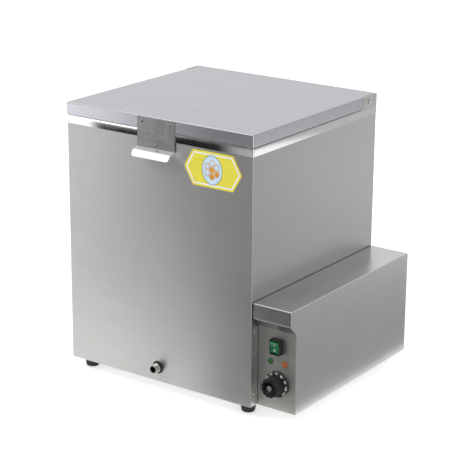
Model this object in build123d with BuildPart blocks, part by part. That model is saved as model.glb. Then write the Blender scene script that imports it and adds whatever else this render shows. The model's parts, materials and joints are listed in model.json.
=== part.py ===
from build123d import *
import os
from math import atan, degrees, hypot, sin

os.makedirs("parts", exist_ok=True)

# Heated comb-melting cabinet: a folded casing round an insulated tank, a hinged lid, a front drain,
# and a control box on the right-hand side. Millimetres. The origin is the centre of the footprint
# at floor level, +Z is up and the controls face -Y.

# ---- driving dimensions --------------------------------------------------------------------
cabinet_width = 500.0
cabinet_depth = 490.0
cabinet_height = 602.0  # underside of the casing to the top of the lid
side_box_width = 98.0
side_box_height = 238.0

sheet = 1.0
thick_sheet = 1.5
plate = 2.0

running_fit = 0.05  # radial play of a shaft or a pin in its hole
hole_play = 0.1  # radial play of a fastener in its hole
moving_gap = 0.5  # space between a moving piece and a fixed one
fold_radius = 2.5
small_nut_across = 10.0
small_nut_height = 5.0

# lid and rim
rim_height = 29.0  # depth of the lid's outer flange zone
band_height = 18.0
lid_gap = 0.6
rim_step = 1.5  # casing edge below the top of the band
front_lap = 0.5  # the lid's front flange stands this far in front of the band
seal_inset = 10.0
seal_width = 10.0
seal_height = 2.2
seal_gap = 0.3
seal_rear_margin = 2.0

# hinge
pivot_setback = 30.0
pivot_drop = 13.6
cheek_reach = 27.0
cheek_clearance = 1.0  # space between the tank's back and the cheeks
pivot_radius = 3.0
pivot_head_radius = 6.2
pivot_head_height = 3.0
hinge_washer_radius = 7.0
tab_length = 53.0  # how far the cheek's fixing tab runs forward of the cheek
tab_rivet_setback = 13.0
well_margin = 1.5  # clear of the lid's rear corner as it swings

# handle
handle_width = 100.0
handle_plate_height = 66.0
handle_top_margin = 2.0
handle_reach = 26.5  # casing face to the tip of the handle's lip
handle_shelf_slope = 0.27  # fall of the shelf for each millimetre forward
handle_lip_radius = 10.0
handle_lip_drop = 3.0
handle_rivet_spacing = 75.0
handle_rivet_drop = 11.5
handle_rivet_rise = 8.0  # centre of the low rivet above the handle's bend
handle_rivet_radius = 4.3
handle_rivet_height = 2.2
handle_tail_height = 0.8

# tank
side_wool = 30.0  # casing face to tank face
back_wool = pivot_setback + cheek_reach + cheek_clearance
tank_floor_front = 25.0
tank_floor_rear = 45.0
rear_lip = 12.0
rail_drop = 62.0
rail_leg = 14.0
rail_height = 20.0
rail_end_gap = 14.0
strainer_height = 110.0
strainer_gap = 1.0
strainer_hole_radius = 5.0
strainer_pitch = 32.0
strainer_columns = 12
strainer_rows = 11
strainer_bracket_length = 60.0
strainer_bracket_inset = 60.0
strainer_bracket_leg = 12.0
wool_gap = 2.5
well_tray_drop = 5.0
weld_gap = 0.05  # hairline between the tank's panels at each weld

# drain
drain_height = 33.0
drain_radius = 10.5
drain_bore_radius = 7.5
drain_pipe_radius = 9.5  # plain neck behind the thread
drain_reach = 19.0
drain_grommet_radius = 14.5
drain_grommet_height = 2.5
drain_hole_gap = 1.5
thread_start = 3.5  # thread's inner end in front of the casing
thread_chamfer = 1.0

# feet
foot_height = 26.0
foot_top_radius = 19.0
foot_bottom_radius = 15.0
foot_round = 3.0
foot_inset_x = 30.0
foot_inset_y = 36.0
foot_screw_radius = 3.0
foot_recess_radius = 8.0
foot_recess_depth = 14.0
foot_screw_reach = 9.0  # thread standing above the base plate's underside
foot_head_radius = 6.0
foot_head_height = 4.0

# label
label_width = 149.0
label_height = 78.0
label_side_margin = 27.0
label_top_drop = 91.0  # label centre below the lid's top
label_point = 22.5
label_thickness = 0.5

# side box
hood_setback = 4.0
hood_face = 34.0
panel_setback = 25.0
box_joint = 0.4
box_floor_rise = 1.5
strip_setback = 2.0
strip_rivet_setback = 11.0
strip_rivet_heights = (30.0, 171.0)
box_rivet_setback = 12.0
box_rivet_heights = (190.0,)
rivet_radius = 1.6
rivet_head_radius = 3.4
rivet_head_height = 1.4
rivet_tail_height = 1.0

# controls, measured from the middle of the control panel
controls_offset = 3.0
switch_height = 147.0
switch_reach = 13.5
switch_body_depth = 22.0
rocker_width = 20.0
rocker_radius = 13.5
rocker_gap = 0.4
switch_wall = 2.6
switch_lip = 1.5  # bezel's overhang past the body behind the panel
switch_end_lip = 2.0
switch_end_wall = 3.6
switch_width = rocker_width + 2 * (rocker_gap + switch_wall)
switch_length = 2 * (rocker_radius + rocker_gap + switch_end_wall)
rocker_pin_radius = 1.5
rocker_pin_length = 1.8
rocker_tilt = 8.0
rocker_pivot_depth = 6.5  # pivot behind the bezel's face
lamp_height = 109.0
lamp_spacing = 36.0
lamp_radius = 6.5
lamp_rim = 2.0
lamp_dome = 3.0
lamp_body_radius = 5.0
lamp_body_depth = 24.0
dial_height = 60.0
dial_radius = 29.0
dial_thickness = 5.0
grip_radius = 21.5
grip_reach = 32.5
grip_flutes = 12
flute_radius = 3.0
knob_gap = 0.8
knob_cap_radius = 6.0
knob_cap_recess = 2.0
shaft_radius = 3.0
bush_radius = 5.0
bush_reach = 7.0
panel_nut_across = 14.0
panel_nut_height = 2.5
knob_cavity_radius = 10.5
knob_cavity_depth = 8.5
thermostat_width = 44.0
thermostat_depth = 36.0

# heater
element_radius = 4.25
element_height = 75.0
element_inset = 60.0
element_spread = 60.0
element_loop = 250.0
element_bend = 25.0
flange_width = 112.0
flange_height = 52.0
flange_plate = 4.0
gasket = 2.0
flange_hole_inset = 9.0
stud_radius = 3.0
stud_length = 14.0
terminal_radius = 2.0
terminal_length = 16.0
leg_reach = 14.0  # element legs outside the flange
window_width = 124.0
window_height = 64.0
pocket_radius = 4.5
pocket_bore = 3.3
pocket_length = 78.0
pocket_drop = 12.0
pocket_end_wall = 1.2
bulb_radius = 3.0
bulb_length = 70.0
capillary_radius = 0.9

# wiring
wire_radius = 1.6
gland_height = 70.0
gland_reach = 24.0
gland_radius = 11.0
gland_bore_radius = 4.5
gland_thread_radius = 8.0
gland_nut_across = 22.0
gland_nut_height = 5.0

# ---- levels and faces ------------------------------------------------------------------------
hinge_overhang = sheet + moving_gap + pivot_head_height
left = -(hinge_overhang + cabinet_width + side_box_width + rivet_head_height) / 2 + hinge_overhang
right = left + cabinet_width
middle = (left + right) / 2

front = -(handle_reach + cabinet_depth + gland_reach) / 2 + handle_reach
rear = front + cabinet_depth

base = foot_height
lid_top = base + cabinet_height
band_top = lid_top - rim_height
band_bottom = band_top - band_height
lid_bottom = band_top + lid_gap
casing_top = band_top - rim_step
tank_rim = casing_top + sheet

pivot_y = rear - pivot_setback
pivot_z = lid_top - pivot_drop
cheek_front = pivot_y - cheek_reach
lid_step = cheek_front - moving_gap
well_radius = hypot(pivot_setback, max(pivot_drop, pivot_z - lid_bottom)) + well_margin
rear_panel_top = pivot_z - well_radius

tank_left = left + side_wool
tank_right = right - side_wool
tank_front = front + side_wool
tank_rear = rear - back_wool

box_right = right + side_box_width
box_top = base + side_box_height
hood_front = front + hood_setback
panel_front = front + panel_setback
chamfer_drop = panel_setback - hood_setback
hood_bottom = box_top - hood_face
panel_top = hood_bottom - chamfer_drop
box_floor = base + box_floor_rise
controls_x = (right + box_right) / 2 + controls_offset

middle_plane = Plane.YZ.offset(middle)


# ---- shared shapes ---------------------------------------------------------------------------
def level(z):
    """Plan plane at a height."""
    return Plane.XY.offset(z)


def facing_front(y):
    """Upright plane whose normal points out of the front; sketches are drawn as (x, z)."""
    return Plane.XZ.offset(-y)


def facing_right(x):
    """Upright plane whose normal points to the right; sketches are drawn as (y, z)."""
    return Plane.YZ.offset(x)


def block(x0, x1, y0, y1, z0, z1, mode=Mode.ADD):
    """Box between two corners."""
    with Locations(((x0 + x1) / 2, (y0 + y1) / 2, (z0 + z1) / 2)):
        Box(x1 - x0, y1 - y0, z1 - z0, mode=mode)


def bar(plane, spots, radius, length, mode=Mode.ADD):
    """Round bars, or holes, that start on a plane and run along its normal."""
    with BuildSketch(plane) as section:
        with Locations(*spots):
            Circle(radius)
    extrude(section.sketch, amount=length, mode=mode)


def hex_nut(plane, spots, across, height, bore):
    """Hexagon nuts with a plain bore."""
    with BuildSketch(plane) as section:
        with Locations(*spots):
            RegularPolygon(across / 2, 6, major_radius=False)
            Circle(bore, mode=Mode.SUBTRACT)
    extrude(section.sketch, amount=height)


def domed_rivets(plane, spots, radius, head_radius, head_height, grip, tail_height):
    """Rivets whose heads stand on a plane; the shank runs back through the grip to a flat tail."""
    with BuildPart(mode=Mode.PRIVATE) as rivet:
        with BuildSketch(Plane.XZ):
            with BuildLine():
                Polyline((0, head_height), (0, -grip - tail_height), (radius * 1.6, -grip - tail_height))
                Line((radius * 1.6, -grip - tail_height), (radius * 1.6, -grip))
                Polyline((radius * 1.6, -grip), (radius, -grip), (radius, 0), (head_radius, 0))
                RadiusArc((head_radius, 0), (0, head_height), -dome_radius(head_radius, head_height))
            make_face()
        revolve(axis=Axis.Z)
    with Locations(plane):
        with Locations(*spots):
            add(rivet.part)


def dome_radius(half_width, height):
    """Radius of the ball that a dome of this half width and height is cut from."""
    return (half_width**2 + height**2) / (2 * height)


def nut_points(width, height, inset):
    """Four fixing points near the corners of a flange."""
    half_w = width / 2 - inset
    half_h = height / 2 - inset
    return [(-half_w, -half_h), (half_w, -half_h), (-half_w, half_h), (half_w, half_h)]


def save(part, name):
    """Label a finished piece and write it."""
    part.label = name
    export_step(part, f"parts/{name}.step")


# ---- casing ----------------------------------------------------------------------------------
return_width = 15.0
drain_spot = (middle, base + drain_height)
element_y = (tank_front + tank_rear) / 2
element_z = base + element_height
strip_rivets_at = [(front + strip_rivet_setback, base + h) for h in strip_rivet_heights]
tab_rivet_at = [(cheek_front - tab_length + tab_rivet_setback, (band_top + band_bottom) / 2)]
rear_screws_z = [base + cabinet_height * share for share in (0.07, 0.32, 0.58, 0.84)]
rear_screws_x = (left + return_width / 2, right - return_width / 2)
rear_screws_at = [(x, z) for x in rear_screws_x for z in rear_screws_z]
rear_screw_radius = 2.0
rear_screw_length = 6.0
rear_head_radius = 4.0
rear_head_height = 2.2

with BuildPart() as outer_casing:
    with BuildSketch(level(base)) as casing_plan:
        with BuildLine():
            wrap_rear = rear - sheet
            wrap = FilletPolyline(
                (left, wrap_rear), (left, front), (right, front), (right, wrap_rear), radius=fold_radius
            )
            offset(wrap, amount=sheet, side=Side.LEFT)
        make_face()
    extrude(amount=casing_top - base)
    for edge_x, inner_x in ((left, left + return_width), (right, right - return_width)):
        x0, x1 = sorted((edge_x, inner_x))
        block(x0, x1, rear - 2 * sheet, rear - sheet, base, rear_panel_top)
    bar(facing_front(front + sheet), [drain_spot], drain_pipe_radius + drain_hole_gap, sheet, Mode.SUBTRACT)
    bar(facing_right(right - sheet), strip_rivets_at, rivet_radius + hole_play, sheet, Mode.SUBTRACT)
    for wall_x in (left, right - sheet):
        bar(facing_right(wall_x), tab_rivet_at, rivet_radius + hole_play, sheet, Mode.SUBTRACT)
    bar(facing_front(rear - sheet), rear_screws_at, rear_screw_radius + hole_play, sheet, Mode.SUBTRACT)
    window_y0 = element_y - window_width / 2
    window_y1 = element_y + window_width / 2
    window_z0 = element_z - window_height / 2
    window_z1 = element_z + window_height / 2
    block(right - sheet, right, window_y0, window_y1, window_z0, window_z1, Mode.SUBTRACT)
save(outer_casing.part, "outer_casing")

with BuildPart() as rim_band:
    with BuildSketch(level(band_bottom)):
        with BuildLine():
            hoop = FilletPolyline(
                (left, rear), (left, front), (right, front), (right, rear), radius=fold_radius
            )
            offset(hoop, amount=sheet, side=Side.RIGHT)
        make_face()
    extrude(amount=band_height)
    for wall_x in (left - sheet, right):
        bar(facing_right(wall_x), tab_rivet_at, rivet_radius + hole_play, sheet, Mode.SUBTRACT)
save(rim_band.part, "rim_band")

with BuildPart() as rear_panel:
    block(left, right, rear - sheet, rear, base, rear_panel_top)
    bar(facing_front(rear), rear_screws_at, rear_screw_radius + hole_play, sheet, Mode.SUBTRACT)
save(rear_panel.part, "rear_panel")

with BuildPart() as rear_panel_screws:
    bar(facing_front(rear), rear_screws_at, rear_screw_radius, rear_screw_length)
    bar(facing_front(rear + rear_head_height), rear_screws_at, rear_head_radius, rear_head_height)
    fillet(rear_panel_screws.faces().group_by(Axis.Y)[-1].edges(), rear_head_height / 2)
save(rear_panel_screws.part, "rear_panel_screws")

floor_plate = 1.2
floor_rise = 0.5
floor_flange = 14.0
foot_spots = [
    (left + foot_inset_x, front + foot_inset_y),
    (right - foot_inset_x, front + foot_inset_y),
    (left + foot_inset_x, rear - foot_inset_y),
    (right - foot_inset_x, rear - foot_inset_y),
]

with BuildPart() as base_plate:
    tray_depth = cabinet_depth - 3 * sheet
    tray_y = front + sheet + tray_depth / 2
    with BuildSketch(level(base + floor_rise)):
        with Locations((middle, tray_y)):
            RectangleRounded(cabinet_width - 2 * sheet, tray_depth, fold_radius)
    extrude(amount=floor_flange)
    with BuildSketch(level(base + floor_rise + floor_plate)):
        with Locations((middle, tray_y)):
            RectangleRounded(
                cabinet_width - 2 * sheet - 2 * floor_plate,
                tray_depth - 2 * floor_plate,
                fold_radius - floor_plate,
            )
    extrude(amount=floor_flange, mode=Mode.SUBTRACT)
    bar(level(base + floor_rise), foot_spots, foot_screw_radius + hole_play, floor_plate, Mode.SUBTRACT)
save(base_plate.part, "base_plate")

# ---- feet ------------------------------------------------------------------------------------
foot_length = foot_height + floor_rise

with BuildPart() as one_foot:
    with BuildSketch(Plane.XZ):
        with BuildLine():
            Polyline(
                (foot_recess_radius, 0),
                (foot_bottom_radius, 0),
                (foot_top_radius, foot_length),
                (foot_screw_radius + hole_play, foot_length),
                (foot_screw_radius + hole_play, foot_recess_depth),
                (foot_recess_radius, foot_recess_depth),
                close=True,
            )
        outline = make_face()
        fillet(outline.vertices().group_by(Axis.Y)[0].sort_by(Axis.X)[-1], foot_round)
    revolve(axis=Axis.Z)

with BuildPart() as feet:
    with Locations(*foot_spots):
        add(one_foot.part)
save(feet.part, "feet")

with BuildPart() as foot_bolts:
    shank = foot_length - foot_recess_depth + foot_screw_reach
    bar(level(foot_recess_depth), foot_spots, foot_screw_radius, shank)
    bar(level(foot_recess_depth - foot_head_height), foot_spots, foot_head_radius, foot_head_height)
    nut_level = level(base + floor_rise + floor_plate)
    hex_nut(nut_level, foot_spots, small_nut_across, small_nut_height, foot_screw_radius + hole_play)
save(foot_bolts.part, "foot_bolts")

# ---- tank ------------------------------------------------------------------------------------
tank_depth = tank_rear - tank_front
floor_slope = (tank_floor_rear - tank_floor_front) / tank_depth


def tank_floor(y, lift=0.0):
    """Height of the sloping tank floor's underside at a depth."""
    return base + tank_floor_front + (y - tank_front) * floor_slope + lift


stud_points = nut_points(flange_width, flange_height, flange_hole_inset)
flange_studs = [(element_y + dy, element_z + dz) for dy, dz in stud_points]
element_legs = [(element_y + side * element_spread / 2, element_z) for side in (-1, 1)]
pocket_at = [(element_y, element_z - pocket_drop)]
slot_margin = 3.0

panel_x0 = tank_left + sheet + weld_gap
panel_x1 = tank_right - sheet - weld_gap
panel_high = tank_rim - sheet - weld_gap
mouth_rear = tank_rear - rear_lip


def tank_side(x):
    """Side panel of the tank with its left face at x, cut to the slope of the floor."""
    with BuildSketch(facing_right(x)) as side_panel:
        Polygon(
            (tank_front, tank_floor(tank_front)),
            (tank_rear, tank_floor(tank_rear)),
            (tank_rear, panel_high),
            (tank_front, panel_high),
            align=None,
        )
    extrude(side_panel.sketch, amount=sheet)


with BuildPart() as inner_tank:
    tank_side(tank_left)
    block(panel_x0, panel_x1, tank_front, tank_front + sheet, tank_floor(tank_front), panel_high)
    block(panel_x0, panel_x1, tank_rear - sheet, tank_rear, tank_floor(tank_rear), panel_high)
    floor_y0 = tank_front + sheet + weld_gap
    floor_y1 = tank_rear - sheet - weld_gap
    with BuildSketch(facing_right(panel_x0)) as floor_panel:
        Polygon(
            (floor_y0, tank_floor(floor_y0)),
            (floor_y1, tank_floor(floor_y1)),
            (floor_y1, tank_floor(floor_y1, sheet)),
            (floor_y0, tank_floor(floor_y0, sheet)),
            align=None,
        )
    extrude(floor_panel.sketch, amount=panel_x1 - panel_x0)
    with BuildSketch(level(tank_rim - sheet)) as front_strip:
        with BuildLine():
            strip_rear = floor_y0 - weld_gap
            Polyline((left, strip_rear), (left, front), (right, front), (right, strip_rear), close=True)
        rim_face = make_face()
        fillet(rim_face.vertices().group_by(Axis.Y)[0], fold_radius)
    extrude(front_strip.sketch, amount=sheet)
    for strip_x0, strip_x1 in ((left, panel_x0 - weld_gap), (panel_x1 + weld_gap, right)):
        block(strip_x0, strip_x1, floor_y0, tank_rear, tank_rim - sheet, tank_rim)
    block(panel_x0, panel_x1, mouth_rear, tank_rear, tank_rim - sheet, tank_rim)
    bar(facing_front(tank_front + sheet), [drain_spot], drain_bore_radius, sheet, Mode.SUBTRACT)
save(inner_tank.part, "inner_tank")

with BuildPart() as tank_side_right:
    tank_side(tank_right - sheet)
    slot_y0 = element_legs[0][0] - element_radius - slot_margin
    slot_y1 = element_legs[1][0] + element_radius + slot_margin
    slot_z = pocket_drop + pocket_radius + slot_margin / 2
    slot_low = element_z - slot_z
    slot_high = element_z + slot_z
    block(tank_right - sheet, tank_right, slot_y0, slot_y1, slot_low, slot_high, Mode.SUBTRACT)
    bar(facing_right(tank_right - sheet), flange_studs, stud_radius + hole_play, sheet, Mode.SUBTRACT)
save(tank_side_right.part, "tank_side_right")

with BuildPart() as frame_rails:
    with BuildSketch(facing_front(mouth_rear - rail_end_gap)):
        rail_top = tank_rim - rail_drop + rail_height
        rail_x = tank_left + sheet
        Polygon(
            (rail_x, rail_top - rail_height),
            (rail_x + sheet, rail_top - rail_height),
            (rail_x + sheet, rail_top - sheet),
            (rail_x + rail_leg, rail_top - sheet),
            (rail_x + rail_leg, rail_top),
            (rail_x, rail_top),
            align=None,
        )
    extrude(amount=mouth_rear - tank_front - 2 * rail_end_gap)
    mirror(about=middle_plane)
save(frame_rails.part, "frame_rails")

strainer_z = base + strainer_height
bracket_ys = (
    tank_front + strainer_bracket_inset,
    tank_rear - strainer_bracket_inset - strainer_bracket_length,
)

with BuildPart() as strainer_brackets:
    for bracket_y in bracket_ys:
        y_end = bracket_y + strainer_bracket_length
        wall_x = tank_left + sheet
        leg_low = strainer_z - strainer_bracket_leg
        block(wall_x, wall_x + strainer_bracket_leg, bracket_y, y_end, strainer_z - sheet, strainer_z)
        block(wall_x, wall_x + sheet, bracket_y, y_end, leg_low, strainer_z)
    mirror(about=middle_plane)
save(strainer_brackets.part, "strainer_brackets")

with BuildPart() as strainer_plate:
    block(
        tank_left + sheet + strainer_gap,
        tank_right - sheet - strainer_gap,
        tank_front + sheet + strainer_gap,
        mouth_rear - strainer_gap,
        strainer_z,
        strainer_z + thick_sheet,
    )
    with Locations((middle, (tank_front + mouth_rear) / 2, strainer_z + thick_sheet)):
        with GridLocations(strainer_pitch, strainer_pitch, strainer_columns, strainer_rows):
            Hole(strainer_hole_radius, depth=thick_sheet)
save(strainer_plate.part, "strainer_plate")

# ---- mineral wool ----------------------------------------------------------------------------
wool_low = base + floor_rise + floor_plate + wool_gap
wool_high = casing_top - wool_gap
side_wool_depth = side_wool - sheet - 2 * wool_gap

side_wool_y0 = tank_front + wool_gap
side_wool_y1 = rear - 2 * sheet - rear_screw_length
wall_z0 = base + floor_rise + floor_flange + wool_gap
wall_z1 = rear_panel_top - well_tray_drop - wool_gap - 0.5
front_wool_inset = 10.0
floor_wool_rise = 6.0  # clears the nuts on the base plate

with BuildPart() as wool_walls:
    wool_y0 = front + sheet + wool_gap
    wool_y1 = wool_y0 + side_wool_depth
    block(left + front_wool_inset, right - front_wool_inset, wool_y0, wool_y1, wool_low, wool_high)
    bar(facing_front(wool_y1), [drain_spot], drain_radius + wool_gap, side_wool_depth, Mode.SUBTRACT)
    wool_x0 = left + sheet + wool_gap
    wool_x1 = right - sheet - wool_gap
    block(wool_x0, wool_x0 + side_wool_depth, side_wool_y0, side_wool_y1, wall_z0, wall_z1)
    block(wool_x1 - side_wool_depth, wool_x1, side_wool_y0, side_wool_y1, wall_z0, wall_z1)
    block(wool_x1 - side_wool_depth, wool_x1, window_y0, window_y1, window_z0, window_z1, Mode.SUBTRACT)
    block(tank_left, tank_right, tank_rear + wool_gap, side_wool_y1, wall_z0, wall_z1)
save(wool_walls.part, "wool_walls")

with BuildPart() as wool_floor:
    wool_y0 = tank_front + wool_gap
    wool_y1 = tank_rear - wool_gap
    with BuildSketch(facing_right(tank_left + foot_inset_x)):
        Polygon(
            (wool_y0, wool_low + floor_wool_rise),
            (wool_y1, wool_low + floor_wool_rise),
            (wool_y1, tank_floor(wool_y1, -wool_gap)),
            (wool_y0, tank_floor(wool_y0, -wool_gap)),
            align=None,
        )
    extrude(amount=tank_right - tank_left - 2 * foot_inset_x)
save(wool_floor.part, "wool_floor")

with BuildPart() as rear_well_tray:
    tray_z = rear_panel_top - well_tray_drop
    block(left + sheet, right - sheet, tank_rear, rear - 2 * sheet, tray_z, tray_z + sheet)
save(rear_well_tray.part, "rear_well_tray")

# ---- drain -----------------------------------------------------------------------------------
with BuildPart() as drain_nipple:
    bar(facing_front(front - thread_start), [drain_spot], drain_radius, drain_reach - thread_start)
    chamfer(drain_nipple.faces().sort_by(Axis.Y)[0].edges(), thread_chamfer)
    bar(facing_front(tank_front), [drain_spot], drain_pipe_radius, side_wool + thread_start)
    bar(facing_front(tank_front), [drain_spot], drain_bore_radius, side_wool + drain_reach, Mode.SUBTRACT)
save(drain_nipple.part, "drain_nipple")

with BuildPart() as drain_grommet:
    with BuildSketch(facing_front(front)) as ring:
        with Locations(drain_spot):
            Circle(drain_grommet_radius)
            Circle(drain_pipe_radius + hole_play, mode=Mode.SUBTRACT)
    extrude(ring.sketch, amount=drain_grommet_height)
save(drain_grommet.part, "drain_grommet")

# ---- hinge cheeks ----------------------------------------------------------------------------
cheek_outer = right + sheet
cheek_inner = right - sheet
tab_inner = cheek_inner - plate
tab_rear_margin = 3.0
tab_bottom = band_bottom - sheet
tab_neck_top = pivot_z - hinge_washer_radius - tab_rear_margin

with BuildPart() as hinge_cheek_right:
    with BuildSketch(facing_right(cheek_inner)) as cheek_outline:
        with BuildLine():
            arc_end_y = pivot_y - (cheek_reach**2 - pivot_drop**2) ** 0.5
            Polyline(
                (cheek_front, pivot_z),
                (cheek_front, band_top),
                (rear, band_top),
                (rear, lid_top),
                (arc_end_y, lid_top),
            )
            RadiusArc((arc_end_y, lid_top), (cheek_front, pivot_z), -cheek_reach)
        make_face()
        with Locations((pivot_y, pivot_z)):
            Circle(pivot_radius + running_fit, mode=Mode.SUBTRACT)
    extrude(cheek_outline.sketch, amount=cheek_outer - cheek_inner)
    with BuildSketch(facing_right(tab_inner)) as tab_outline:
        Polygon(
            (cheek_front - tab_length, tab_bottom),
            (rear - tab_rear_margin, tab_bottom),
            (rear - tab_rear_margin, tab_neck_top),
            (cheek_front + tab_rear_margin, tab_neck_top),
            (cheek_front + tab_rear_margin, casing_top - moving_gap),
            (cheek_front - tab_length, casing_top - moving_gap),
            align=None,
        )
        with Locations(*tab_rivet_at):
            Circle(rivet_radius + hole_play, mode=Mode.SUBTRACT)
    extrude(tab_outline.sketch, amount=plate)
save(hinge_cheek_right.part, "hinge_cheek_right")

with BuildPart() as hinge_cheek_left:
    mirror(hinge_cheek_right.part, about=middle_plane)
save(hinge_cheek_left.part, "hinge_cheek_left")

stop_width = 40.0
stop_inset = 60.0
stop_reach = 7.0
stop_height = 10.0
stop_drop = 5.0

with BuildPart() as lid_stops:
    for stop_x in (tank_left + stop_inset, tank_right - stop_inset - stop_width):
        stop_z = casing_top - stop_drop
        block(stop_x, stop_x + stop_width, tank_rear, tank_rear + stop_reach, stop_z - stop_height, stop_z)
save(lid_stops.part, "lid_stops")

# ---- lid -------------------------------------------------------------------------------------
lid_left = left - sheet
lid_right = right + sheet
lid_front = front - sheet - front_lap
tongue_right = tab_inner - moving_gap
tongue_left = 2 * middle - tongue_right
pan_bottom = tank_rim + seal_gap + seal_height
pan_flange = 10.0


def lid_outline(inset):
    """Plan of the lid: full width at the front, narrower between the hinge cheeks."""
    with BuildSketch(level(lid_bottom)) as plan:
        with BuildLine():
            Polyline(
                (lid_left + inset, lid_front + inset),
                (lid_right - inset, lid_front + inset),
                (lid_right - inset, lid_step - inset),
                (tongue_right - inset, lid_step - inset),
                (tongue_right - inset, rear - inset),
                (tongue_left + inset, rear - inset),
                (tongue_left + inset, lid_step - inset),
                (lid_left + inset, lid_step - inset),
                close=True,
            )
        make_face()
        fillet(plan.vertices().group_by(Axis.Y)[0], fold_radius + sheet - inset)
    return plan.sketch


hinge_spot = [(pivot_y, pivot_z)]

with BuildPart() as lid_skin:
    extrude(lid_outline(0.0), amount=lid_top - lid_bottom)
    fillet(lid_skin.faces().sort_by(Axis.Z)[-1].edges().filter_by(Axis.X), 1.5)
    extrude(lid_outline(sheet), amount=lid_top - lid_bottom - sheet, mode=Mode.SUBTRACT)
    for wall_x in (tongue_left, tongue_right - sheet):
        bar(facing_right(wall_x), hinge_spot, pivot_radius + hole_play, sheet, Mode.SUBTRACT)
    handle_rivets_at = [
        (middle - handle_rivet_spacing / 2, lid_top - handle_rivet_drop),
        (middle + handle_rivet_spacing / 2, lid_top - handle_rivet_drop),
    ]
    bar(facing_front(lid_front + sheet), handle_rivets_at, rivet_radius + hole_play, sheet, Mode.SUBTRACT)
save(lid_skin.part, "lid_skin")

with BuildPart() as lid_pan:
    pan_x0 = lid_left + sheet
    pan_x1 = lid_right - sheet
    pan_y0 = lid_front + sheet
    pan_y1 = lid_step - sheet
    with BuildSketch(level(pan_bottom)):
        with Locations((middle, (pan_y0 + pan_y1) / 2)):
            RectangleRounded(pan_x1 - pan_x0, pan_y1 - pan_y0, fold_radius)
    extrude(amount=pan_flange)
    with BuildSketch(level(pan_bottom + sheet)):
        with Locations((middle, (pan_y0 + pan_y1) / 2)):
            RectangleRounded(pan_x1 - pan_x0 - 2 * sheet, pan_y1 - pan_y0 - 2 * sheet, fold_radius - sheet)
    extrude(amount=pan_flange, mode=Mode.SUBTRACT)
save(lid_pan.part, "lid_pan")

with BuildPart() as lid_wool:
    wool_side = 3.0
    block(
        pan_x0 + wool_side,
        pan_x1 - wool_side,
        pan_y0 + wool_side,
        pan_y1 - wool_side,
        pan_bottom + sheet,
        lid_top - sheet - hole_play,
    )
save(lid_wool.part, "lid_wool")

with BuildPart() as lid_seal:
    seal_x0 = left + seal_inset
    seal_x1 = right - seal_inset
    seal_y0 = front + seal_inset
    seal_y1 = tank_rear - seal_rear_margin
    seal_z = tank_rim + seal_gap
    block(seal_x0, seal_x1, seal_y0, seal_y1, seal_z, pan_bottom)
    block(
        seal_x0 + seal_width,
        seal_x1 - seal_width,
        seal_y0 + seal_width,
        seal_y1 - seal_width,
        seal_z,
        pan_bottom,
        Mode.SUBTRACT,
    )
save(lid_seal.part, "lid_seal")

bracket_thickness = plate
bracket_length = 50.0
bracket_foot = 16.0

with BuildPart() as hinge_brackets:
    bracket_x = tongue_right - sheet - bracket_thickness
    bracket_y0 = pivot_y - bracket_length / 2
    bracket_y1 = bracket_y0 + bracket_length
    bracket_z1 = lid_top - sheet
    block(bracket_x, tongue_right - sheet, bracket_y0, bracket_y1, lid_bottom + 2.0, bracket_z1)
    foot_z0 = bracket_z1 - bracket_thickness
    block(bracket_x - bracket_foot, bracket_x, bracket_y0, bracket_y1, foot_z0, bracket_z1)
    bar(facing_right(bracket_x), hinge_spot, pivot_radius + hole_play, bracket_thickness, Mode.SUBTRACT)
    mirror(about=middle_plane)
save(hinge_brackets.part, "hinge_brackets")

hinge_washer = cheek_inner - tongue_right - moving_gap
head_start = cheek_outer + moving_gap
screw_start = bracket_x - small_nut_height - 1.0
screw_length = head_start - screw_start
head_rim = 0.6
socket_across = 4.0
socket_depth = 1.6

with BuildPart() as hinge_screws:
    bar(facing_right(screw_start), hinge_spot, pivot_radius, screw_length)
    with BuildSketch(Plane(origin=(head_start, pivot_y, pivot_z), x_dir=(0, 1, 0), z_dir=(0, 0, 1))):
        with BuildLine():
            Polyline((pivot_head_radius, 0), (0, 0), (0, -pivot_head_height))
            head_ball = dome_radius(pivot_head_radius, pivot_head_height - head_rim)
            RadiusArc((0, -pivot_head_height), (pivot_head_radius, -head_rim), -head_ball)
            Line((pivot_head_radius, -head_rim), (pivot_head_radius, 0))
        make_face()
    revolve(axis=Axis((head_start, pivot_y, pivot_z), (1, 0, 0)))
    with BuildSketch(facing_right(head_start + pivot_head_height - socket_depth)):
        with Locations(*hinge_spot):
            RegularPolygon(socket_across / 2, 6, major_radius=False)
    extrude(amount=socket_depth, mode=Mode.SUBTRACT)
    mirror(about=middle_plane)
save(hinge_screws.part, "hinge_screws")

with BuildPart() as hinge_nuts:
    nut_x = bracket_x - small_nut_height
    hex_nut(facing_right(nut_x), hinge_spot, small_nut_across, small_nut_height, pivot_radius + hole_play)
    mirror(about=middle_plane)
save(hinge_nuts.part, "hinge_nuts")

with BuildPart() as hinge_washers:
    with BuildSketch(facing_right(tongue_right)):
        with Locations(*hinge_spot):
            Circle(hinge_washer_radius)
            Circle(pivot_radius + hole_play, mode=Mode.SUBTRACT)
    extrude(amount=hinge_washer)
    mirror(about=middle_plane)
save(hinge_washers.part, "hinge_washers")

# ---- handle ----------------------------------------------------------------------------------
handle_face = lid_front - thick_sheet
handle_top = lid_top - handle_top_margin
handle_bend = handle_top - handle_plate_height
shelf_angle = atan(handle_shelf_slope)
shelf_front = front - handle_reach + handle_lip_radius * (1 - sin(shelf_angle))
shelf_end_z = handle_bend - (handle_face - shelf_front) * handle_shelf_slope
low_rivet_at = [(middle, handle_bend + handle_rivet_rise)]

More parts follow.
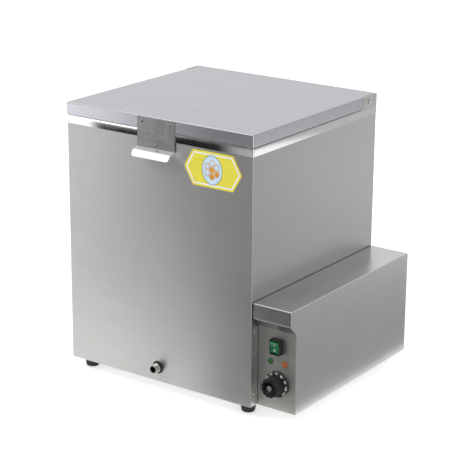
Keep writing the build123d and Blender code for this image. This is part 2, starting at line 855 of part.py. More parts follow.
with BuildPart() as lid_handle:
    with BuildSketch(facing_right(middle - handle_width / 2)):
        with BuildLine():
            riser = Line((handle_face, handle_top), (handle_face, handle_bend))
            shelf = Line(riser @ 1, (shelf_front, shelf_end_z))
            lip = JernArc(shelf @ 1, shelf % 1, handle_lip_radius, 90 - degrees(shelf_angle))
            Line(lip @ 1, (lip @ 1) + (lip % 1) * handle_lip_drop)
            offset(amount=thick_sheet, side=Side.LEFT)
        make_face()
    extrude(amount=handle_width)
    all_rivets_at = handle_rivets_at + low_rivet_at
    bar(facing_front(lid_front), all_rivets_at, rivet_radius + hole_play, thick_sheet, Mode.SUBTRACT)
save(lid_handle.part, "lid_handle")

with BuildPart() as handle_rivets:
    domed_rivets(
        facing_front(handle_face),
        handle_rivets_at,
        rivet_radius,
        handle_rivet_radius,
        handle_rivet_height,
        thick_sheet + sheet,
        rivet_tail_height,
    )
    domed_rivets(
        facing_front(handle_face),
        low_rivet_at,
        rivet_radius,
        handle_rivet_radius,
        handle_rivet_height,
        thick_sheet,
        handle_tail_height,
    )
save(handle_rivets.part, "handle_rivets")

# ---- label -----------------------------------------------------------------------------------
label_x = right - label_side_margin - label_width / 2
label_z = lid_top - label_top_drop

with BuildPart() as label_plate:
    with BuildSketch(facing_front(front)):
        half_w = label_width / 2
        half_h = label_height / 2
        with Locations((label_x, label_z)):
            Polygon(
                (-half_w, 0),
                (-half_w + label_point, -half_h),
                (half_w - label_point, -half_h),
                (half_w, 0),
                (half_w - label_point, half_h),
                (-half_w + label_point, half_h),
            )
    extrude(amount=label_thickness)
save(label_plate.part, "label_plate")

# ---- side box sheets -------------------------------------------------------------------------
cover_left = right + box_joint
side_sheet = box_right - sheet

with BuildPart() as side_box_cover:
    with BuildSketch(facing_right(cover_left)):
        with BuildLine():
            Polyline(
                (rear, box_top),
                (hood_front, box_top),
                (hood_front, hood_bottom),
                (panel_front, panel_top),
            )
            offset(amount=sheet, side=Side.LEFT)
        make_face()
    extrude(amount=side_sheet - cover_left)
save(side_box_cover.part, "side_box_cover")

box_rivets_at = [(rear - box_rivet_setback, base + h) for h in box_rivet_heights]

with BuildPart() as side_box_side:
    with BuildSketch(facing_right(side_sheet)):
        Polygon(
            (rear, base),
            (rear, box_top),
            (hood_front, box_top),
            (hood_front, hood_bottom),
            (panel_front, panel_top),
            (panel_front, base),
            align=None,
        )
        with Locations(*box_rivets_at):
            Circle(rivet_radius + hole_play, mode=Mode.SUBTRACT)
    extrude(amount=sheet)
save(side_box_side.part, "side_box_side")

with BuildPart() as side_box_floor:
    block(right, side_sheet, panel_front + sheet, rear - sheet, box_floor, box_floor + sheet)
save(side_box_floor.part, "side_box_floor")

gland_spot = (controls_x, base + gland_height)

with BuildPart() as side_box_back:
    block(right, side_sheet, rear - sheet, rear, box_floor, box_top - sheet)
    flange_y0 = rear - 2 * box_rivet_setback
    block(side_sheet - sheet, side_sheet, flange_y0, rear - sheet, box_floor + sheet, box_top - 2 * sheet)
    bar(facing_right(side_sheet - sheet), box_rivets_at, rivet_radius + hole_play, sheet, Mode.SUBTRACT)
    bar(facing_front(rear), [gland_spot], gland_thread_radius + hole_play, sheet, Mode.SUBTRACT)
save(side_box_back.part, "side_box_back")

strip_front = front + strip_setback
switch_spot = (controls_x, base + switch_height)
dial_spot = (controls_x, base + dial_height)
lamp_spots = [
    (controls_x - lamp_spacing / 2, base + lamp_height),
    (controls_x + lamp_spacing / 2, base + lamp_height),
]
switch_neck_width = switch_width - 2 * switch_lip
switch_neck_length = switch_length - 2 * switch_end_lip
panel_back = panel_front + sheet

with BuildPart() as control_panel:
    block(right, side_sheet, panel_front, panel_back, box_floor, panel_top)
    block(right, right + sheet, strip_front, panel_front, box_floor + strip_setback, panel_top)
    bar(facing_right(right), strip_rivets_at, rivet_radius + hole_play, sheet, Mode.SUBTRACT)
    bar(facing_front(panel_back), [dial_spot], bush_radius + hole_play, sheet, Mode.SUBTRACT)
    bar(facing_front(panel_back), lamp_spots, lamp_body_radius + hole_play, sheet, Mode.SUBTRACT)
    switch_x, switch_z = switch_spot
    block(
        switch_x - switch_neck_width / 2 - hole_play,
        switch_x + switch_neck_width / 2 + hole_play,
        panel_front,
        panel_back,
        switch_z - switch_neck_length / 2 - hole_play,
        switch_z + switch_neck_length / 2 + hole_play,
        Mode.SUBTRACT,
    )
save(control_panel.part, "control_panel")

with BuildPart() as sheet_rivets:
    for plane, spots, grip in (
        (facing_right(right + sheet), tab_rivet_at, 2 * sheet + plate),
        (facing_right(right + sheet), strip_rivets_at, 2 * sheet),
        (facing_right(box_right), box_rivets_at, 2 * sheet),
    ):
        domed_rivets(
            plane, spots, rivet_radius, rivet_head_radius, rivet_head_height, grip, rivet_tail_height
        )
    mirror(sheet_rivets.solids().sort_by(Axis.Z)[-1], about=middle_plane)
save(sheet_rivets.part, "sheet_rivets")

# ---- rocker switch ---------------------------------------------------------------------------
bezel_face = panel_front - switch_reach
rocker_y = bezel_face + rocker_pivot_depth
pocket_half_width = rocker_width / 2 + rocker_gap
pocket_half_length = rocker_radius + rocker_gap
pocket_depth = rocker_pivot_depth + 8.5

with BuildPart() as switch_housing:
    with BuildSketch(facing_front(panel_front)) as bezel_plan:
        with Locations(switch_spot):
            RectangleRounded(switch_width, switch_length, 2.0)
    extrude(bezel_plan.sketch, amount=switch_reach)
    chamfer(switch_housing.faces().sort_by(Axis.Y)[0].edges(), 1.0)
    with BuildSketch(facing_front(panel_front + switch_body_depth)) as body_plan:
        with Locations(switch_spot):
            Rectangle(switch_neck_width, switch_neck_length)
    extrude(body_plan.sketch, amount=switch_body_depth)
    block(
        switch_x - pocket_half_width,
        switch_x + pocket_half_width,
        bezel_face,
        bezel_face + pocket_depth,
        switch_z - pocket_half_length,
        switch_z + pocket_half_length,
        Mode.SUBTRACT,
    )
    pin_reach = pocket_half_width + rocker_pin_length
    bar(
        facing_right(switch_x - pin_reach),
        [(rocker_y, switch_z)],
        rocker_pin_radius + running_fit,
        2 * pin_reach,
        Mode.SUBTRACT,
    )
save(switch_housing.part, "switch_housing")

rocker_face = 5.0  # middle of the rocker's face in front of the pivot
rocker_edge = 8.5  # ends of the rocker's face in front of the pivot, before tilting

with BuildPart() as switch_rocker:
    with BuildSketch(facing_right(switch_x - rocker_width / 2)) as rocker_outline:
        with Locations(Location((rocker_y, switch_z), rocker_tilt)):
            Circle(rocker_radius)
            Polygon(
                (-20.0, -20.0),
                (-rocker_edge, -20.0),
                (-rocker_edge, -rocker_radius * 0.8),
                (-rocker_face, 0),
                (-rocker_edge, rocker_radius * 0.8),
                (-rocker_edge, 20.0),
                (-20.0, 20.0),
                align=None,
                mode=Mode.SUBTRACT,
            )
            with Locations((13.0, 0)):
                Rectangle(20.0, 40.0, mode=Mode.SUBTRACT)
    extrude(rocker_outline.sketch, amount=rocker_width)
    pin_length = rocker_width + 2 * rocker_gap + 2 * rocker_pin_length - 0.6
    bar(facing_right(switch_x - pin_length / 2), [(rocker_y, switch_z)], rocker_pin_radius, pin_length)
save(switch_rocker.part, "switch_rocker")

# ---- lamps -----------------------------------------------------------------------------------
for lamp_name, (lamp_x, lamp_z) in zip(("green", "orange"), lamp_spots):
    with BuildPart() as lamp_lens:
        lamp_axis = Plane(origin=(lamp_x, panel_front, lamp_z), x_dir=(1, 0, 0), z_dir=(0, 0, 1))
        with BuildSketch(lamp_axis):
            with BuildLine():
                dome = dome_radius(lamp_radius - 0.5, lamp_dome)
                Polyline((lamp_radius - 0.5, -lamp_rim), (lamp_radius, -lamp_rim), (lamp_radius, 0), (0, 0))
                Line((0, 0), (0, -lamp_rim - lamp_dome))
                RadiusArc((0, -lamp_rim - lamp_dome), (lamp_radius - 0.5, -lamp_rim), -dome)
            make_face()
        revolve(axis=Axis((lamp_x, panel_front, lamp_z), (0, 1, 0)))
    save(lamp_lens.part, f"lamp_lens_{lamp_name}")

lamp_nut_height = 3.0

with BuildPart() as lamp_bodies:
    bar(facing_front(panel_front + lamp_body_depth), lamp_spots, lamp_body_radius, lamp_body_depth)
    nut_plane = facing_front(panel_back + lamp_nut_height)
    hex_nut(nut_plane, lamp_spots, 2 * lamp_radius, lamp_nut_height, lamp_body_radius + hole_play)
save(lamp_bodies.part, "lamp_bodies")

# ---- thermostat ------------------------------------------------------------------------------
shaft_bore_depth = 12.0
shaft_hub_depth = 12.0

with BuildPart() as thermostat_body:
    dial_x, dial_z = dial_spot
    half = thermostat_width / 2
    body_front = panel_back + 1.0
    body_rear = body_front + thermostat_depth
    block(dial_x - half, dial_x + half, body_front, body_rear, dial_z - half, dial_z + half)
    bar(
        facing_front(body_front + shaft_bore_depth),
        [dial_spot],
        shaft_radius + moving_gap,
        shaft_bore_depth,
        Mode.SUBTRACT,
    )
save(thermostat_body.part, "thermostat_body")

bush_length = body_front - panel_front + bush_reach

with BuildPart() as thermostat_bush:
    bar(facing_front(body_front), [dial_spot], bush_radius, bush_length)
    bar(facing_front(body_front), [dial_spot], shaft_radius + running_fit, bush_length, Mode.SUBTRACT)
    nut_bore = bush_radius + hole_play
    hex_nut(facing_front(panel_front), [dial_spot], panel_nut_across, panel_nut_height, nut_bore)
save(thermostat_bush.part, "thermostat_bush")

knob_back = panel_front - knob_gap
grip_face = panel_front - grip_reach
hub_end = panel_front - bush_reach - moving_gap - shaft_hub_depth

with BuildPart() as thermostat_shaft:
    shaft_end = body_front + shaft_bore_depth - 1.0
    bar(facing_front(shaft_end), [dial_spot], shaft_radius, shaft_end - hub_end)
save(thermostat_shaft.part, "thermostat_shaft")

with BuildPart() as thermostat_knob:
    bar(facing_front(knob_back), [dial_spot], dial_radius, dial_thickness)
    chamfer(thermostat_knob.faces().sort_by(Axis.Y)[0].edges(), 1.5)
    bar(facing_front(knob_back), [dial_spot], grip_radius, knob_back - grip_face)
    fillet(thermostat_knob.faces().sort_by(Axis.Y)[0].edges(), 2.0)
    with BuildSketch(facing_front(knob_back - dial_thickness)) as flutes:
        with Locations(dial_spot):
            with PolarLocations(grip_radius + flute_radius * 0.55, grip_flutes):
                Circle(flute_radius)
    extrude(flutes.sketch, amount=grip_reach, mode=Mode.SUBTRACT)
    cap_seat = facing_front(grip_face + knob_cap_recess)
    bar(cap_seat, [dial_spot], knob_cap_radius, knob_cap_recess, Mode.SUBTRACT)
    bar(facing_front(knob_back), [dial_spot], knob_cavity_radius, knob_cavity_depth, Mode.SUBTRACT)
    shaft_bore = shaft_radius + hole_play
    bar(facing_front(knob_back), [dial_spot], shaft_bore, knob_back - hub_end, Mode.SUBTRACT)
save(thermostat_knob.part, "thermostat_knob")

with BuildPart() as knob_cap:
    bar(cap_seat, [dial_spot], knob_cap_radius - hole_play, knob_cap_recess - 0.4)
    chamfer(knob_cap.faces().sort_by(Axis.Y)[0].edges(), 0.3)
save(knob_cap.part, "knob_cap")

# ---- heater ----------------------------------------------------------------------------------
gasket_x = tank_right
flange_x = gasket_x + gasket
flange_face = flange_x + flange_plate

with BuildPart() as element_gasket:
    with BuildSketch(facing_right(gasket_x)):
        with Locations((element_y, element_z)):
            Rectangle(flange_width, flange_height)
            Rectangle(slot_y1 - slot_y0, 2 * slot_z, mode=Mode.SUBTRACT)
        with Locations(*flange_studs):
            Circle(stud_radius + hole_play, mode=Mode.SUBTRACT)
    extrude(amount=gasket)
save(element_gasket.part, "element_gasket")

with BuildPart() as element_flange:
    with BuildSketch(facing_right(flange_x)):
        with Locations((element_y, element_z)):
            RectangleRounded(flange_width, flange_height, 4.0)
        with Locations(*flange_studs):
            Circle(stud_radius + hole_play, mode=Mode.SUBTRACT)
        with Locations(*element_legs):
            Circle(element_radius + hole_play, mode=Mode.SUBTRACT)
        with Locations(*pocket_at):
            Circle(pocket_radius + hole_play, mode=Mode.SUBTRACT)
    extrude(amount=flange_plate)
save(element_flange.part, "element_flange")

with BuildPart() as element_studs:
    bar(facing_right(tank_right - sheet), flange_studs, stud_radius, stud_length)
    stud_bore = stud_radius + hole_play
    hex_nut(facing_right(flange_face), flange_studs, small_nut_across, small_nut_height, stud_bore)
save(element_studs.part, "element_studs")

leg_end = flange_face + leg_reach
near_x = tank_right - element_inset
far_x = tank_left + element_inset
loop_y0 = element_y - element_loop / 2
loop_y1 = element_y + element_loop / 2

with BuildPart() as heating_element:
    with BuildLine() as element_path:
        FilletPolyline(
            (leg_end, element_legs[0][0], element_z),
            (near_x, element_legs[0][0], element_z),
            (near_x, loop_y0, element_z),
            (far_x, loop_y0, element_z),
            (far_x, loop_y1, element_z),
            (near_x, loop_y1, element_z),
            (near_x, element_legs[1][0], element_z),
            (leg_end, element_legs[1][0], element_z),
            radius=element_bend,
        )
    with BuildSketch(Plane(origin=element_path.line @ 0, z_dir=element_path.line % 0)):
        Circle(element_radius)
    sweep()
    bar(facing_right(leg_end), element_legs, terminal_radius, terminal_length)
save(heating_element.part, "heating_element")

with BuildPart() as bulb_pocket:
    bar(facing_right(flange_face - pocket_length), pocket_at, pocket_radius, pocket_length)
    bore_start = facing_right(flange_face - pocket_length + pocket_end_wall)
    bar(bore_start, pocket_at, pocket_bore, pocket_length, Mode.SUBTRACT)
save(bulb_pocket.part, "bulb_pocket")

bulb_end = flange_face - 4.0
capillary_x = dial_x - 14.0
capillary_z = element_z - pocket_drop

with BuildPart() as thermostat_bulb:
    bar(facing_right(bulb_end - bulb_length), pocket_at, bulb_radius, bulb_length)
    with BuildLine() as capillary_path:
        FilletPolyline(
            (bulb_end - 1.0, element_y, capillary_z),
            (capillary_x, element_y, capillary_z),
            (capillary_x, body_front + thermostat_depth, capillary_z),
            radius=30.0,
        )
    with BuildSketch(Plane(origin=capillary_path.line @ 0, z_dir=capillary_path.line % 0)):
        Circle(capillary_radius)
    sweep()
save(thermostat_bulb.part, "thermostat_bulb")

# ---- wiring inside the side box --------------------------------------------------------------
relay_depth = 45.0
relay_reach = 58.0
relay_low = 95.0
relay_high = 170.0
rail_depth = 6.0
rail_overhang = 20.0
rail_length = 110.0
rail_width = 35.0
terminal_reach = 40.0
terminal_depth = 42.0
terminal_low = 55.0
terminal_high = 92.0
terminal_pitch = 13.0
wiring_setback = 150.0
wiring_y0 = rear - wiring_setback

with BuildPart() as mounting_rail:
    rail_mid = base + (relay_low + relay_high) / 2
    rail_y0 = wiring_y0 - rail_overhang
    rail_z0 = rail_mid - rail_width / 2
    block(right, right + rail_depth, rail_y0, rail_y0 + rail_length, rail_z0, rail_z0 + rail_width)
save(mounting_rail.part, "mounting_rail")

with BuildPart() as relay:
    relay_x = right + rail_depth
    relay_y1 = wiring_y0 + relay_depth
    block(relay_x, relay_x + relay_reach, wiring_y0, relay_y1, base + relay_low, base + relay_high)
save(relay.part, "relay")

with BuildPart() as terminal_block:
    terminal_x = right + terminal_reach
    terminal_y1 = wiring_y0 + terminal_depth
    block(right, terminal_x, wiring_y0, terminal_y1, base + terminal_low, base + terminal_high)
    with Locations((terminal_x, (wiring_y0 + terminal_y1) / 2, base + (terminal_low + terminal_high) / 2)):
        with Locations(Plane.YZ):
            with GridLocations(terminal_pitch, terminal_high - terminal_low - terminal_pitch, 3, 2):
                Box(7.0, 7.0, 4.0, mode=Mode.SUBTRACT)
save(terminal_block.part, "terminal_block")


def wire(points, bend, radius):
    """Round wire along straight runs joined by arcs."""
    with BuildLine() as path:
        FilletPolyline(*points, radius=bend)
    with BuildSketch(Plane(origin=path.line @ 0, z_dir=path.line % 0)) as section:
        Circle(radius)
    sweep(section.sketch, path=path.line)


leg_tip = leg_end + terminal_length
gland_inner = 12.0
switch_back = panel_front + switch_body_depth
wire_spread = 4.0
lead_reach = 24.0  # element leads run this far out before they turn back
lead_bend = 14.0

with BuildPart() as box_wires:
    for leg_y, leg_z in element_legs:
        turn_x = leg_tip + lead_reach - (wire_spread if leg_y > element_y else -wire_spread)
        lead = [(leg_tip, leg_y, leg_z), (turn_x, leg_y, leg_z), (turn_x, wiring_y0, leg_z)]
        wire(lead, lead_bend, wire_radius)
    for tab_rise in (-2 * wire_spread, 2 * wire_spread):
        wire_z = switch_z + tab_rise
        slant = relay_x + relay_reach / 2 - switch_x
        wire(
            [
                (switch_x, switch_back, wire_z),
                (switch_x, switch_back + 100.0, wire_z),
                (switch_x + slant, switch_back + 200.0, wire_z),
                (switch_x + slant, wiring_y0, wire_z),
            ],
            60.0,
            wire_radius,
        )
    mains_x = right + terminal_reach - 10.0
    gland_z = base + gland_height
    wire(
        [
            (controls_x, rear - gland_inner, gland_z),
            (controls_x, rear - gland_inner - 30.0, gland_z),
            (mains_x, rear - gland_inner - 60.0, gland_z),
            (mains_x, terminal_y1, gland_z),
        ],
        24.0,
        2 * wire_radius,
    )
save(box_wires.part, "box_wires")

with BuildPart() as cable_gland:
    with BuildSketch(Plane(origin=(controls_x, rear, gland_z), x_dir=(1, 0, 0), z_dir=(0, 0, 1))):
        with BuildLine():
            Polyline(
                (gland_bore_radius, -gland_inner),
                (gland_thread_radius, -gland_inner),
                (gland_thread_radius, 0),
                (gland_radius, 0),
                (gland_radius, gland_reach * 0.6),
                (gland_radius - 3.0, gland_reach),
                (gland_bore_radius, gland_reach),
                close=True,
            )
        make_face()
    revolve(axis=Axis((controls_x, rear, gland_z), (0, 1, 0)))
    nut_bore = gland_thread_radius + hole_play
    hex_nut(facing_front(rear - sheet), [gland_spot], gland_nut_across, gland_nut_height, nut_bore)
save(cable_gland.part, "cable_gland")
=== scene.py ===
import json
from math import atan2, cos, pi, radians, sin, tan

import bmesh
import bpy
from mathutils import Matrix, Vector
from mathutils.bvhtree import BVHTree


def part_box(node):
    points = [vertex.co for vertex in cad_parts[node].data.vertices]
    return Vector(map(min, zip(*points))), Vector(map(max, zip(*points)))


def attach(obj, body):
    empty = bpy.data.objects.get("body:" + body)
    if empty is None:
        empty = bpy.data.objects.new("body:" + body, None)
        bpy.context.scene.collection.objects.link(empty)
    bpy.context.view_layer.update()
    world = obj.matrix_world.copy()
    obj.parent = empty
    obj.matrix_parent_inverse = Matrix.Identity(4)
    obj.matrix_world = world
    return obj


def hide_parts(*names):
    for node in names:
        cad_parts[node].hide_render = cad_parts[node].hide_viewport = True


# Heated comb-melting cabinet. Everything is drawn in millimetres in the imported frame's axes and
# scaled to metres once, when a piece is finished.

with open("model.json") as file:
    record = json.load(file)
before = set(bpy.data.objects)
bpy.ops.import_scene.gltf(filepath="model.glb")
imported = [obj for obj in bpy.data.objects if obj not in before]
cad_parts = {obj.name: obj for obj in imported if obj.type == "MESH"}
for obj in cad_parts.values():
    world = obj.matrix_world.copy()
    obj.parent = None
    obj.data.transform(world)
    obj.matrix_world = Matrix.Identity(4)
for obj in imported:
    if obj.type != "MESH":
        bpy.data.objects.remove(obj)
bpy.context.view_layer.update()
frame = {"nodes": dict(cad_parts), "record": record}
nodes = frame["nodes"]
scene = bpy.context.scene
MM = 0.001


# ---- camera ----------------------------------------------------------------------------------
def unit_vectors(azimuth, elevation, roll):
    """Right, up and back of a camera that looks at the object from an azimuth and an elevation."""
    back = Vector((sin(azimuth) * cos(elevation), -cos(azimuth) * cos(elevation), sin(elevation)))
    right = (-back).cross(Vector((0, 0, 1))).normalized()
    up = right.cross(-back)
    return cos(roll) * right + sin(roll) * up, cos(roll) * up - sin(roll) * right, back


camera_data = bpy.data.cameras.new("studio_camera")
camera_azimuth = 0.6199
camera_elevation = 0.3044
camera_roll = 0.0064
camera_place = (2.0088, -2.8720, 1.4384)
camera_data.sensor_width = 36.0
camera_data.lens = 129.34
camera = bpy.data.objects.new("studio_camera", camera_data)
scene.collection.objects.link(camera)
axes = unit_vectors(camera_azimuth, camera_elevation, camera_roll)
camera.matrix_world = Matrix.Translation(camera_place) @ Matrix(axes).transposed().to_4x4()
scene.camera = camera
scene.view_settings.view_transform = "Standard"


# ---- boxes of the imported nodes, in millimetres --------------------------------------------------
class Extent:
    """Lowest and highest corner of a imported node."""

    def __init__(self, node):
        low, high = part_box(node)
        self.x0, self.y0, self.z0 = (v / MM for v in low)
        self.x1, self.y1, self.z1 = (v / MM for v in high)
        self.mid = (Vector(low) + Vector(high)) / (2 * MM)


casing = Extent("outer_casing")
band = Extent("rim_band")
lid = Extent("lid_skin")
handle = Extent("lid_handle")
hood = Extent("side_box_cover")
side = Extent("side_box_side")
panel = Extent("control_panel")
label = Extent("label_plate")
nipple = Extent("drain_nipple")
bezel = Extent("switch_housing")
rocker = Extent("switch_rocker")
knob = Extent("thermostat_knob")
cap = Extent("knob_cap")
foot_box = Extent("feet")


# ---- colour and material nodes ------------------------------------------------------------------
def rgb(text):
    """sRGB hex to the linear colour that the shader works in."""
    parts = [int(text[i:i + 2], 16) / 255 for i in (1, 3, 5)]
    return tuple(c / 12.92 if c <= 0.04045 else ((c + 0.055) / 1.055) ** 2.4 for c in parts) + (1.0,)


def add(material, kind, inputs=None, links=None, **settings):
    """Adds one node: settings on the node, values and links on its sockets."""
    tree = material.node_tree
    node = tree.nodes.new("ShaderNode" + kind)
    for name, value in settings.items():
        setattr(node, name, value)
    for name, value in (inputs or {}).items():
        node.inputs[name].default_value = value
    for name, (source, socket) in (links or {}).items():
        tree.links.new(source.outputs[socket], node.inputs[name])
    return node


def start(name, colour, rough, metallic=0.0, **sockets):
    """A material with its shader, and the uniform values on the shader's own sockets."""
    material = bpy.data.materials.new(name)
    material.use_nodes = True
    shader = material.node_tree.nodes["Principled BSDF"]
    shader.inputs["Base Color"].default_value = rgb(colour)
    shader.inputs["Roughness"].default_value = rough
    shader.inputs["Metallic"].default_value = metallic
    for socket, value in sockets.items():
        shader.inputs[socket.replace("_", " ")].default_value = value
    return material, shader


def per(size_mm):
    """Scale that gives a pattern one repeat in this many millimetres of object space."""
    return 1 / (size_mm * MM)


def stretched(material, sizes_mm):
    """Object coordinates scaled so that one noise cell is this long in x, y and z."""
    place = add(material, "TexCoord")
    return add(
        material, "Mapping", {"Scale": tuple(per(s) for s in sizes_mm)}, {"Vector": (place, "Object")}
    )


def ramp(material, source, socket, stops):
    """Colour ramp from (position, hex) stops."""
    node = add(material, "ValToRGB", None, {"Fac": (source, socket)})
    while len(node.color_ramp.elements) < len(stops):
        node.color_ramp.elements.new(0.5)
    for element, (position, colour) in zip(node.color_ramp.elements, stops):
        element.position = position
        element.color = rgb(colour)
    return node


def to_range(material, source, socket, low, high, start_at=0.0, end_at=1.0):
    """Value mapped from one range to another."""
    return add(
        material,
        "MapRange",
        {"From Min": start_at, "From Max": end_at, "To Min": low, "To Max": high},
        {"Value": (source, socket)},
    )


def join(material, shader, socket, source, output):
    """Link one node's output to a socket of the shader."""
    material.node_tree.links.new(source.outputs[output], shader.inputs[socket])


scuff_size = (9.0, 9.0, 60.0)
dust_size = 22.0


def sheet_metal(name, bright, dull, rough, spread, grain, relief, smear=160.0, scuffs=0.0, drawn=0.0):
    """Cold-rolled or brushed stainless sheet: fine lines along the rolling direction, cloudy smears
    from handling, and a few scuffs that catch the light.

    Sizes are in millimetres: grain is one line's cell in x, y and z, relief its height, smear a cloud's
    width. Real grain is far finer than a millimetre and is drawn this coarse so that it shows. Scuffs
    is how bright they are and drawn how far the grinding stretches a reflection."""
    material, shader = start(name, bright, rough, 1.0)
    if drawn:
        shader.inputs["Anisotropic"].default_value = drawn
        shader.inputs["Anisotropic Rotation"].default_value = 0.25
        around = add(material, "Tangent", direction_type="RADIAL", axis="Z")
        join(material, shader, "Tangent", around, "Tangent")
    lines = add(
        material,
        "TexNoise",
        {"Scale": 1.0, "Detail": 3.0, "Roughness": 0.6},
        {"Vector": (stretched(material, grain), "Vector")},
    )
    clouds = add(
        material,
        "TexNoise",
        {"Scale": per(smear), "Detail": 2.0, "Roughness": 0.55},
        {"Vector": (add(material, "TexCoord"), "Object")},
    )
    both = add(
        material, "Mix", {"Factor": 0.4}, {"A": (lines, "Fac"), "B": (clouds, "Fac")}, data_type="FLOAT"
    )
    tint = ramp(material, both, "Result", [(0.30, dull), (0.70, bright)])
    gloss = to_range(material, both, "Result", rough - spread, rough + spread, 0.3, 0.7)
    bump = add(material, "Bump", {"Distance": relief * MM}, {"Height": (lines, "Fac")})
    if scuffs:
        marks = add(
            material,
            "TexNoise",
            {"Scale": 1.0, "Detail": 1.0, "Distortion": 1.2},
            {"Vector": (stretched(material, scuff_size), "Vector")},
        )
        sharp = to_range(material, marks, "Fac", 0.0, scuffs, 0.70, 0.78)
        rubbed = add(
            material, "Mix", {"B": rgb("#E6E6E4")},
            {"Factor": (sharp, "Result"), "A": (tint, "Color")}, data_type="RGBA",
        )
        join(material, shader, "Base Color", rubbed, "Result")
    else:
        join(material, shader, "Base Color", tint, "Color")
    join(material, shader, "Roughness", gloss, "Result")
    join(material, shader, "Normal", bump, "Normal")
    return material


def moulded(name, colour, worn, rough, grain_mm, relief, **sockets):
    """Moulded plastic or rubber: fine spark-eroded texture, dust in the hollows, slightly uneven gloss.
    The texture's grain is drawn coarser than the real one so that it shows."""
    material, shader = start(name, colour, rough, 0.0, **sockets)
    place = {"Vector": (add(material, "TexCoord"), "Object")}
    pores = add(material, "TexNoise", {"Scale": per(grain_mm), "Detail": 2.0}, place)
    dust = add(material, "TexNoise", {"Scale": per(dust_size), "Detail": 3.0}, place)
    tint = ramp(material, dust, "Fac", [(0.42, colour), (0.72, worn)])
    gloss = to_range(material, dust, "Fac", rough - 0.06, rough + 0.08, 0.3, 0.7)
    join(material, shader, "Base Color", tint, "Color")
    join(material, shader, "Roughness", gloss, "Result")
    bump = add(material, "Bump", {"Distance": relief * MM}, {"Height": (pores, "Fac")})
    join(material, shader, "Normal", bump, "Normal")
    return material


# 304 stainless, ground and rolled: fine lines run along the sheet and blur what it reflects.
brushed = sheet_metal(
    "brushed_stainless", "#C6C6C4", "#BFBFBD", 0.34, 0.02, (160.0, 160.0, 2.4), 0.0010,
    scuffs=0.10, drawn=0.85,
)
# Lid sheet, the same steel left plain: an even, slightly cool sheen with its grain along the width.
lid_steel = sheet_metal(
    "lid_stainless", "#C5C4CA", "#BDBCC3", 0.26, 0.01, (300.0, 9.0, 9.0), 0.0001, 60.0
)
# Control box sheet, smoother bright-rolled steel that mirrors the casing in soft outline.
box_steel = sheet_metal(
    "box_stainless", "#D6D6D6", "#CECECE", 0.26, 0.02, (160.0, 160.0, 3.0), 0.0008, 120.0,
    scuffs=0.12, drawn=0.5,
)
# Control panel face, brushed so that it only gives back a broad soft sheen.
panel_steel = sheet_metal(
    "panel_stainless", "#C2C0BC", "#B7B5B1", 0.50, 0.02, (160.0, 160.0, 3.0), 0.0004, 120.0, drawn=0.3
)
# Polished trim: the rim band and the screws, with faint polishing lines.
polished = sheet_metal(
    "polished_stainless", "#E2E2E2", "#DADADA", 0.05, 0.02, (60.0, 60.0, 1.8), 0.0001, 60.0
)
# Handle plate: the sheet as it comes from the mill, cloudy and softly reflecting; its bend is painted
# brighter below.
mill_sheet = sheet_metal(
    "mill_stainless", "#B4B4B6", "#8E8E90", 0.36, 0.06, (60.0, 60.0, 6.0), 0.0004, 26.0, scuffs=0.25
)
# Painted highlight: the handle's rolled lip gets a near-white copy of the handle steel, standing in for its
# bright reflection.
lip_painted_highlight = sheet_metal("lip_painted_highlight", "#F4F4F4", "#EAEAEA", 0.30, 0.04, (60.0, 60.0, 6.0), 0.0002, 26.0)
# Rivets and screws: satin, tumbled stainless with tiny dings.
satin = sheet_metal("tumbled_stainless", "#A9A8A6", "#8A8987", 0.24, 0.08, (2.5, 2.5, 2.5), 0.02, 12.0)
# Tank and lid pan: pressed sheet with a fine even satin that spreads the light inside the tank.
tank_sheet = sheet_metal(
    "tank_satin", "#DCDBD8", "#D2D1CE", 0.40, 0.03, (160.0, 160.0, 4.0), 0.0004, 90.0, scuffs=0.15
)
# Turned pipe thread, bright on the crests and oily in the roots.
threaded = sheet_metal("threaded_stainless", "#D2D1CE", "#8F8D88", 0.20, 0.08, (1.2, 6.0, 1.2), 0.01, 9.0)
# Heating element sheath: nickel alloy with a straw and grey heat tint.
element = sheet_metal("element_sheath", "#8E8A84", "#5F5A52", 0.42, 0.10, (3.0, 3.0, 3.0), 0.02, 30.0)
# Capillary tube, dulled copper.
copper = sheet_metal("copper_tube", "#C08155", "#8C5A3A", 0.30, 0.08, (2.0, 2.0, 2.0), 0.01, 14.0)
# Nickel-plated brass, warm under the plating.
brass = sheet_metal("nickelled_brass", "#C9C2B0", "#A69E8A", 0.28, 0.08, (1.6, 1.6, 1.6), 0.01, 10.0)
# Galvanised mounting rail, with a grey spangle.
zinc = sheet_metal("zinc_rail", "#B4B8BA", "#8E9396", 0.45, 0.10, (9.0, 9.0, 9.0), 0.01, 18.0)
# Spun aluminium disc in the knob, with fine turned rings.
aluminium = sheet_metal("spun_aluminium", "#D5D6D8", "#B9BABC", 0.25, 0.06, (0.9, 4.0, 0.9), 0.006, 6.0)

# Nitrile rubber feet and grommet: matt black with grey floor dust.
rubber = moulded("black_rubber", "#141414", "#2B2A28", 0.62, 0.9, 0.05)
# Silicone seal, translucent off-white.
silicone = moulded(
    "silicone", "#D9D2C4", "#BEB5A4", 0.45, 1.4, 0.02,
    Subsurface_Weight=0.15, Subsurface_Radius=(0.004, 0.003, 0.002),
)
# Thermoset and ABS housings: near-black with a faint eroded grain.
black_plastic = moulded("black_plastic", "#17171A", "#26262A", 0.38, 0.6, 0.02)
# Printed numerals, slightly chalky white.
white_plastic = moulded("white_plastic", "#E9E8E2", "#D0CEC6", 0.50, 0.8, 0.01)
# Lead insulation, glossy cream silicone sleeve.
sleeve = moulded("wire_sleeve", "#D8CDB8", "#B9AC94", 0.42, 0.5, 0.02)
# Polycarbonate rocker, clear green that glows where it is thin.
green_rocker = moulded(
    "green_rocker", "#0C7A45", "#0A5C36", 0.16, 1.5, 0.008, Transmission_Weight=0.25, IOR=1.58
)
